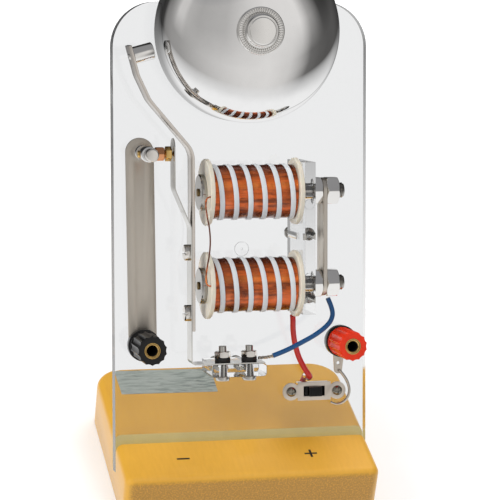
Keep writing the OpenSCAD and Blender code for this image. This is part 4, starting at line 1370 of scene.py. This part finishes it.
@dataclass
class Electromagnet:
    """The two coils with their cores, nuts, yoke strip and pole pieces."""

    levels: Spot = (97.7, 62.3)
    out: float = 16.0
    bobbin_half: float = 18.3
    flange_radius: float = 12.7
    flange_thick: float = 1.9
    barrel_radius: float = 5.5
    winding_radius: float = 10.2
    wire_radius: float = 0.2
    wire_steps: int = 44
    slow_sway: float = 0.035
    fast_sway: float = 0.02
    tape_wide: float = 1.9
    tape_thick: float = 0.3
    tape_low_radius: float = 10.32
    tape_turns: float = 5.6
    tape_start_deg: float = 273.0
    core_radius: float = 3.0
    pole_radius: float = 6.9
    pole_thick: float = 2.05
    thread_start: float = 23.6
    thread_pitch: float = 0.7
    thread_deep: float = 0.28
    core_end: float = 36.25
    wire_hole_out: float = 11.6
    wire_hole_radius: float = 0.55
    sides: tuple[str, str] = ("upper", "lower")

    def build(self) -> None:
        """Builds and finishes the electromagnet's pieces."""
        for side, level, hole_side in zip(self.sides, self.levels, (-1, 1)):
            self.bobbin(side, level, hole_side)
            self.winding(side, level)
            self.tape(side, level)
            self.core(side, level)
        for name, node, finish, slot in (
            ("inner_core_nuts", "core_nuts_inner", Finishes.BRIGHT, "nickel"),
            ("outer_core_nuts", "core_nuts_outer", Finishes.BRIGHT, "nickel"),
            ("iron_yoke_strip", "yoke_strip", Finishes.STRIP, "soft_iron"),
            ("brass_pole_pins", "pole_pins", Finishes.DULL_BRASS, "dark_brass"),
            ("bracket_fixing_screws", "bracket_screws", Finishes.ZINC, "zinc"),
        ):
            dress(name, node, finish, 0.14)

    def bobbin(self, side: str, level: float, hole_side: int) -> None:
        """Turns a bobbin and drills its wire hole.

        Args:
            side: which coil it is.
            level: the height of its axis on the panel.
            hole_side: on which side of the axis the hole is, up or down.
        """
        end, big, small = self.bobbin_half, self.flange_radius, self.barrel_radius
        inner = self.flange_thick - end
        half = [(self.core_radius + 0.05, -end), (small + 1.6, -end), (small + 1.75, -end + 0.12)]
        half += [(big - 0.3, -end + 0.12), (big, -end + 0.42), (big, inner - 0.3), (big - 0.3, inner)]
        half += [(small + 0.3, inner), (small, inner + 0.3)]
        profile = half + [(r, -z) for r, z in reversed(half)]
        bobbin = lathe(f"moulded_bobbin_{side}", profile, 96)
        hole = Matrix.Translation((-self.wire_hole_out, hole_side, -end))
        cut(bobbin, drill(self.wire_hole_radius, 6, 20, hole))
        smooth(placed(bobbin, facing((0, level, self.out), (1, 0, 0))), 35)
        settle(bobbin, Finishes.IVORY, instead_of=(f"bobbin_{side}",))

    def winding(self, side: str, level: float) -> None:
        """Winds the outer layer of fine wire as one helix over the layers below."""
        run = 2 * (self.bobbin_half - self.flange_thick) - 0.3
        wire = self.wire_radius
        turns = int(run / (2 * wire + 0.005)) - 1
        middle = self.winding_radius - wire
        path = []
        for k in range(turns * self.wire_steps + 1):
            a = 2 * math.pi * k / self.wire_steps
            along = (run - 2 * wire) * (k / (turns * self.wire_steps) - 0.5)
            slow, fast = math.sin(0.37 * a / math.pi), math.sin(1.3 * along + 2 * a)
            sway = middle + self.slow_sway * slow + self.fast_sway * fast
            path.append(Vector((along, level - sway * math.sin(a), self.out - sway * math.cos(a))))
        layer = tube(f"wound_wire_{side}", path, wire, 8)
        placed(layer, PANEL.matrix())
        inner = [(self.barrel_radius + 0.1, -run / 2), (middle - 0.05, -run / 2), (middle - 0.05, run / 2)]
        core = lathe(f"wound_core_{side}", inner + [(self.barrel_radius + 0.1, run / 2)], 64)
        placed(core, facing((0, level, self.out), (1, 0, 0)))
        coil = joined(f"wound_coil_{side}", [layer, core])
        settle(coil, Finishes.COPPER, instead_of=(f"winding_{side}",))

    def tape(self, side: str, level: float) -> None:
        """Winds the tape as a ribbon with its own UV map."""
        run = 2 * (self.bobbin_half - self.flange_thick) - self.tape_wide - 0.1
        steps = int(self.tape_turns * 56)
        low = self.tape_low_radius
        section = [(0.0, -0.5), (0.7, -0.5), (1.0, -0.36), (1.06, 0.0), (1.0, 0.36), (0.7, 0.5), (0.0, 0.5)]
        points, faces, marks = [], [], []
        for k in range(steps + 1):
            a = 2 * math.pi * self.tape_turns * k / steps
            turn = a - math.radians(self.tape_start_deg)
            wander = 0.18 * math.sin(1.7 * a) + 0.1 * math.sin(0.6 * a + 1)
            for height, across in section:
                r = low + height * self.tape_thick
                along = run * (0.5 - k / steps) - (across + 0.12 * wander) * self.tape_wide
                points.append((along, level - r * math.sin(turn), self.out - r * math.cos(turn)))
                marks.append((a * low / self.tape_wide, across + 0.5))
        count = len(section)
        for k in range(steps):
            for s in range(count):
                t = (s + 1) % count
                faces.append([k * count + s, (k + 1) * count + s, (k + 1) * count + t, k * count + t])
        faces += [list(range(count)), list(range(steps * count + count - 1, steps * count - 1, -1))]
        ribbon = from_points(f"spiral_tape_{side}", points, [], faces)
        layer = ribbon.data.uv_layers.new(name="tape")
        for loop in ribbon.data.loops:
            layer.data[loop.index].uv = marks[loop.vertex_index]
        with editing(ribbon):
            bpy.ops.mesh.normals_make_consistent(inside=False)
        smooth(placed(ribbon, PANEL.matrix()), 50)
        settle(ribbon, Finishes.TAPE, instead_of=(f"tape_{side}",))

    def core(self, side: str, level: float) -> None:
        """Turns a core with its pole disc at the left and its thread at the right."""
        face = -self.bobbin_half - 2.1
        pole, shaft = self.pole_radius, self.core_radius - 0.02
        profile = [(0, face), (pole - 0.35, face), (pole, face + 0.35), (pole, face + self.pole_thick - 0.2)]
        profile += [(pole - 0.2, face + self.pole_thick), (shaft, face + self.pole_thick)]
        thread = (self.thread_pitch, self.thread_deep)
        profile += ridged(self.thread_start, self.core_end - 0.4, shaft, *thread)
        profile += [(shaft - 0.5, self.core_end), (0, self.core_end)]
        core = lathe(f"turned_core_{side}", profile, 64)
        smooth(placed(core, facing((0, level, self.out), (1, 0, 0))), 35)
        settle(core, Finishes.IRON, instead_of=(f"iron_core_{side}",))


# ---------------------------------------------------------------- armature


@dataclass
class Armature:
    """The bent armature strip with its hammer and screws, and the leaf spring that carries it.

    The strip's knee and neck, its two upper bends, are given from its end.
    """

    out: float = 16.0
    across: float = -23.1
    strip_wide: float = 8.0
    strip_thick: float = 1.2
    foot: float = 45.3
    bend: float = 113.4
    end: Spot = (-46.9, 153.2)
    knee: Spot = (7.4, -20.5)
    neck: Spot = (3.0, -11.2)
    hammer_back: float = 4.2
    hammer_radius: float = 3.25
    hammer_long: float = 8.0
    leaf_across: float = -23.9
    leaf_thick: float = 0.4
    contact_across: float = -30.1
    leaf_kink: float = 84.8
    leaf_straight: float = 99.2
    leaf_top: float = 118.4
    hinge: float = 39.0
    shelf_top: float = 32.4
    foot_end: float = 4.6

    def build(self) -> None:
        """Builds and finishes the armature's pieces."""
        self.arm()
        self.hammer()
        self.leaf()
        dress(
            "slotted_armature_screws",
            "armature_screws",
            Finishes.NICKEL,
            width=0.16,
            body=Body.ARMATURE,
            segments=3,
        )

    def arm(self) -> None:
        """Bends the armature strip."""
        x, y = self.end
        route = [(self.across, self.foot), (self.across, self.bend)]
        route += [(x + off_x, y + off_y) for off_x, off_y in (self.knee, self.neck)] + [(x, y)]
        line = rounded_corners(route, [0, 9, 10, 10, 0], 12)
        arm = strip("bent_armature", line, self.strip_thick, self.strip_wide, False)
        soften(arm, 0.16, 2, 40)
        placed(arm, PANEL.matrix() @ Matrix.Translation((0, 0, self.out)))
        settle(arm, Finishes.ARM, Body.ARMATURE, ("armature_arm",))

    def hammer(self) -> None:
        """Turns the hammer with its riveted spigot."""
        way = -Vector(self.neck).normalized()
        seat = Vector(self.end) - way * self.hammer_back
        low, high, r = self.strip_thick / 2, self.strip_thick / 2 + self.hammer_long, self.hammer_radius
        profile = [(0, -low - 0.42), (0.85, -low - 0.36), (1.15, -low - 0.1), (1.15, low), (r - 0.25, low)]
        profile += [(r, low + 0.25), (r, high - 0.5), (r - 0.2, high - 0.18), (r - 0.6, high), (0, high)]
        hammer = lathe("turned_hammer", profile, 64)
        smooth(placed(hammer, facing((seat.x, seat.y, self.out), (way.y, -way.x, 0))), 35)
        settle(hammer, Finishes.BRIGHT, Body.ARMATURE, ("hammer",))

    def leaf(self) -> None:
        """Bends the leaf spring in one piece, from its clamped foot to its free end."""
        down = self.shelf_top + self.leaf_thick / 2
        route = [(self.foot_end, down), (self.leaf_across, down), (self.leaf_across, self.hinge)]
        route += [(self.leaf_across, self.leaf_kink), (self.contact_across, self.leaf_straight)]
        route += [(self.contact_across, self.leaf_top)]
        line = rounded_corners(route, [0, 1.6, 0, 6, 6, 0], 10)
        fine: Outline = []
        for start, stop in zip(line, line[1:]):
            count = max(1, int((Vector(stop) - Vector(start)).length / 2))
            fine += [tuple(Vector(start).lerp(Vector(stop), k / count)) for k in range(count)]
        leaf = strip("leaf_spring", fine + [line[-1]], self.leaf_thick, self.strip_wide, True)
        smooth(leaf, 35)
        placed(leaf, PANEL.matrix() @ Matrix.Translation((0, 0, self.out)))
        leaf.data.materials.append(Finishes.SPRING.material())
        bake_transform(leaf)
        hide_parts("contact_leaf", "leaf_foot")
        LOG.info("%s: %d faces, turns between frame and armature", leaf.name, len(leaf.data.polygons))


# ---------------------------------------------------------------- contact, terminals and clamps


@dataclass
class ContactGroup:
    """The contact post, its screws, the link strip and the clamped shelf hardware."""

    across: float = -40.0
    level: float = 112.5
    out: float = 16.0
    post_radius: float = 3.0
    post_low: float = 1.0
    post_high: float = 21.0
    shank_radius: float = 2.0
    shank_low: float = -11.2
    groove_low: float = 9.4
    groove_high: float = 10.2
    groove_deep: float = 0.6
    screw_radius: float = 1.45
    screw_back: float = -43.7
    thread_pitch: float = 0.5
    thread_deep: float = 0.2
    head_start: float = -33.15
    head_end: float = -30.85
    head_flats: float = 5.0
    tip: float = -30.35

    def build(self) -> None:
        """Builds and finishes the contact's pieces."""
        self.post()
        self.contact_screw()
        for name, node, finish, slot, width in (
            ("bent_link_strip", "link_strip", Finishes.STRIP, "strip_steel", 0.15),
            ("post_end_screw", "post_clamp_screw", Finishes.NICKEL, "nickel", 0.18),
            ("post_back_nut", "post_nut", Finishes.ZINC, "zinc", 0.15),
            ("coppered_lock_nut", "contact_lock_nut", Finishes.COPPER_NUT, "copper_nut", 0.12),
            ("shelf_fixing_screws", "shelf_screws", Finishes.ZINC, "zinc", 0.12),
            ("clamping_bolts", "clamp_bolts", Finishes.ZINC, "zinc", 0.15),
            ("fibre_washers", "clamp_washers", Finishes.FIBRE, "black_fibre", 0.15),
            ("clamping_nuts", "clamp_nuts", Finishes.NICKEL, "zinc", 0.12),
        ):
            dress(name, node, finish, width)

    def post(self) -> None:
        """Turns the post, its groove and its shank, and bores it for the contact screw."""
        r, s = self.post_radius, self.shank_radius
        foot, seat, top, deep = self.shank_low, self.post_low, self.post_high, r - self.groove_deep
        profile = [(0, foot), (s - 0.3, foot), (s, foot + 0.3), (s, seat), (r - 0.2, seat), (r, seat + 0.2)]
        profile += [(r, self.groove_low), (deep, self.groove_low), (deep, self.groove_high)]
        profile += [(r, self.groove_high), (r, top - 0.45), (r - 0.12, top - 0.15), (r - 0.45, top), (0, top)]
        post = soften(lathe("turned_contact_post", profile, 72), 0.06, 2, 40)
        bore = Matrix.Translation((0, 0, self.out)) @ Matrix.Rotation(math.pi / 2, 4, "Y")
        cut(post, drill(self.screw_radius + 0.05, 12, 32, bore))
        smooth(placed(post, facing((self.across, self.level, 0), (0, 0, 1))), 35)
        settle(post, Finishes.CHROME, instead_of=("contact_post",))

    def contact_screw(self) -> None:
        """Threads the contact screw and gives it a six-sided head with a point."""
        r = self.screw_radius
        start, head, end, tip = self.screw_back, self.head_start, self.head_end, self.tip
        thread = ridged(start + 0.3, head, r, self.thread_pitch, self.thread_deep)
        rod = lathe("threaded_rod", [(0, start), (r - 0.4, start), *thread, (0, head)], 40)
        deselect()
        corner = self.head_flats / 2 / math.cos(math.pi / 6)
        bpy.ops.mesh.primitive_cylinder_add(vertices=6, radius=corner, depth=end - head)
        nut = placed(named("six_sided_head"), Matrix.Translation((0, 0, (head + end) / 2)))
        soften(nut, 0.18, 3, 30)
        point = lathe("point", [(0, end), (1.2, end), (0.75, tip - 0.06), (0.55, tip), (0, tip)], 32)
        screw = joined("threaded_contact_screw", [rod, nut, point])
        smooth(placed(screw, facing((0, self.level, self.out), (1, 0, 0))), 35)
        settle(screw, Finishes.BRASS, Body.CONTACT_SCREW, ("contact_screw",))


@dataclass
class Terminals:
    """The black and red terminals, and what holds them behind the panel."""

    width: float = 0.12
    across: float = 39.2
    socket_radius: float = 2.0
    socket_low: float = 8.5

    def build(self) -> None:
        """Builds and finishes the terminals' pieces."""
        for side, bush, cap, moulding, slot in (
            ("black", Body.BLACK_BUSH, Body.BLACK_CAP, Finishes.BLACK, "black_plastic"),
            ("red", Body.RED_BUSH, Body.RED_CAP, Finishes.RED, "red_plastic"),
        ):
            stem = self.dress(f"{side}_socket_stem", f"{side}_stem", Finishes.BRASS, "brass")
            self.unlit(stem, -self.across if side == "black" else self.across)
            self.dress(f"{side}_brass_bush", f"{side}_cap_bush", Finishes.BRASS, "brass", bush)
            self.dress(f"{side}_fluted_cap", f"{side}_cap", moulding, slot, cap)
            self.dress(f"{side}_terminal_collar", f"{side}_collar", Finishes.BLACK, "black_plastic")
        self.dress("terminal_back_washers", "terminal_washers", Finishes.ZINC, "zinc")
        self.dress("terminal_back_nuts", "terminal_nuts", Finishes.DULL_BRASS, "dark_brass")
        self.dress("tinned_solder_lug", "solder_lug", Finishes.TINNED, "tinned_wire")

    def dress(self, name: str, node: str, finish: Finish, slot: str, body: Body = Body.FRAME) -> Piece:
        """Dresses one piece of a terminal with the terminals' own bevel."""
        return dress(name, node, finish, self.width, body, 3)

    def unlit(self, stem: Piece, across: float) -> None:
        """Darkens the socket's inside, where hardly any light gets in.

        Args:
            stem: the terminal's stem.
            across: the terminal's place across the panel.
        """
        back = PANEL.matrix().inverted()
        stem.data.materials.append(Finishes.DARK_HOLE.material())
        middle = sum((back @ v.co for v in stem.data.vertices), Vector()) / len(stem.data.vertices)
        for face in stem.data.polygons:
            at = back @ face.center
            reach = math.hypot(at.x - across, at.y - middle.y)
            if at.z > self.socket_low - 0.1 and reach < self.socket_radius + 0.02:
                face.material_index = 1


@dataclass
class SlideSwitch:
    """The slide switch: plate, knob, body, tags and screws."""

    def build(self) -> None:
        """Builds and finishes the switch's pieces."""
        dress("pressed_switch_plate", "switch_plate", Finishes.PRESSED, 0.1)
        dress("sliding_knob", "switch_slider", Finishes.BLACK, 0.12, Body.SWITCH_KNOB)
        dress("switch_body", "switch_block", Finishes.FIBRE, 0.15)
        dress("switch_solder_tags", "switch_tags", Finishes.TINNED, 0.05)
        dress("cross_head_screws", "switch_screws", Finishes.SCREW, 0.08)


# ---------------------------------------------------------------- leads


@dataclass
class Leads:
    """The sleeved leads, the enamelled wire between the coils and the bare wires."""

    blue_radius: float = 0.95
    red_radius: float = 1.1
    wire_radius: float = 0.3
    lug_wire_radius: float = 0.55
    strand_radius: float = 0.32
    strands: int = 3
    twist_steps: int = 16
    steps: int = 10
    blue: list[Point] = field(
        default_factory=lambda: [
            (30.3, 56.2, 16), (31.6, 53, 16), (32.2, 50, 16), (31.3, 47.2, 16), (28.8, 44.6, 16),
            (25, 42, 16), (19.6, 39.2, 16), (14, 36.6, 16), (8.6, 34.6, 16),
        ]
    )  # fmt: skip
    blue_tail: list[Point] = field(
        default_factory=lambda: [(9.6, 35, 16), (8, 34.4, 16), (5.5, 34.1, 16.2), (2.8, 34, 16)]
    )
    red: list[Point] = field(
        default_factory=lambda: [
            (17.4, 49.4, 12), (17.8, 47.4, 10.8), (18.6, 43, 8), (20, 37.5, 5.4), (22, 32, 3.8),
            (24.4, 27.4, 3.4), (26.2, 24.8, 2.8), (26.9, 23.8, 1.2), (27, 23.7, -1), (27, 23.7, -3.6),
            (27, 23.7, -6.4), (26.8, 22.3, -9), (26.2, 20.3, -10),
        ]
    )  # fmt: skip
    coil_wire: list[Point] = field(
        default_factory=lambda: [
            (-15.9, 96.7, 27.6), (-17.4, 96.7, 27.6), (-19, 96.6, 27.7), (-19.9, 95.4, 27.6),
            (-19.9, 93, 27.2), (-19.2, 89, 26.4), (-18.2, 84.6, 25.4), (-17.8, 80, 25),
            (-18.2, 75.4, 25.4), (-19.2, 71, 26.4), (-19.9, 67, 27.2), (-19.9, 64.6, 27.6),
            (-19, 63.4, 27.7), (-17.4, 63.3, 27.6), (-15.9, 63.3, 27.6),
        ]
    )  # fmt: skip
    lug_wire: list[Point] = field(
        default_factory=lambda: [
            (38.9, 26, 1.2), (40.3, 24.4, 1.3), (42.1, 21.6, 1.4), (43, 18.2, 1.4), (42.3, 15.2, 1.4),
            (40.2, 13.2, 1.3), (37.7, 12.6, 1.2), (35.4, 13.4, 1.1),
        ]
    )  # fmt: skip

    def build(self) -> None:
        """Builds and finishes the leads."""
        tail = self.twisted("twisted_blue_tail", self.blue_tail)
        blue = (self.blue, self.blue_radius)
        red = (self.red, self.red_radius)
        bow = (self.coil_wire, self.wire_radius)
        bare = (self.lug_wire, self.lug_wire_radius)
        for name, node, finish, slot, (points, radius), ends in (
            ("blue_sleeved_lead", "blue_lead", Finishes.BLUE_SLEEVE, "blue_insulation", blue, [tail]),
            ("red_sleeved_lead", "red_lead", Finishes.RED_SLEEVE, "red_insulation", red, []),
            ("enamelled_link_wire", "coil_wire", Finishes.COPPER, "copper_wire", bow, []),
            ("bare_tinned_wire", "lug_wire", Finishes.TINNED, "tinned_wire", bare, None),
        ):
            piece = placed(tube(name, catmull(points, self.steps), radius, 20), PANEL.matrix())
            settle(piece, finish, instead_of=(node,))

    def twisted(self, name: str, points: list[Point]) -> Piece:
        """Twists bare strands round a short route.

        Args:
            name: the piece's name.
            points: the route in the panel's frame.

        Returns:
            The twisted wire.
        """
        middle = catmull(points, 14)
        strands = []
        for s in range(self.strands):
            path = []
            for k, at in enumerate(middle):
                way = (middle[min(k + 1, len(middle) - 1)] - middle[max(k - 1, 0)]).normalized()
                side = way.cross(Vector((0, 0, 1))).normalized()
                turn = 2 * math.pi * (s / self.strands + k / self.twist_steps)
                off = side * math.cos(turn) + way.cross(side) * math.sin(turn)
                path.append(at + off * self.strand_radius)
            strands.append(tube(f"{name}_strand", path, self.strand_radius, 8))
        wire = placed(joined(name, strands), PANEL.matrix())
        return settle(wire, Finishes.TINNED)


def main() -> None:
    """Builds the stage, then each sub-assembly in order."""
    logging.basicConfig(level=logging.INFO, format="%(message)s")
    Studio().build()
    for assembly in (
        Leads,
        WoodenBase,
        ClearWork,
        GongGroup,
        Electromagnet,
        Armature,
        ContactGroup,
        Terminals,
        SlideSwitch,
    ):
        LOG.info("-- %s", assembly.__name__)
        assembly().build()


if __name__ == "__main__":
    main()
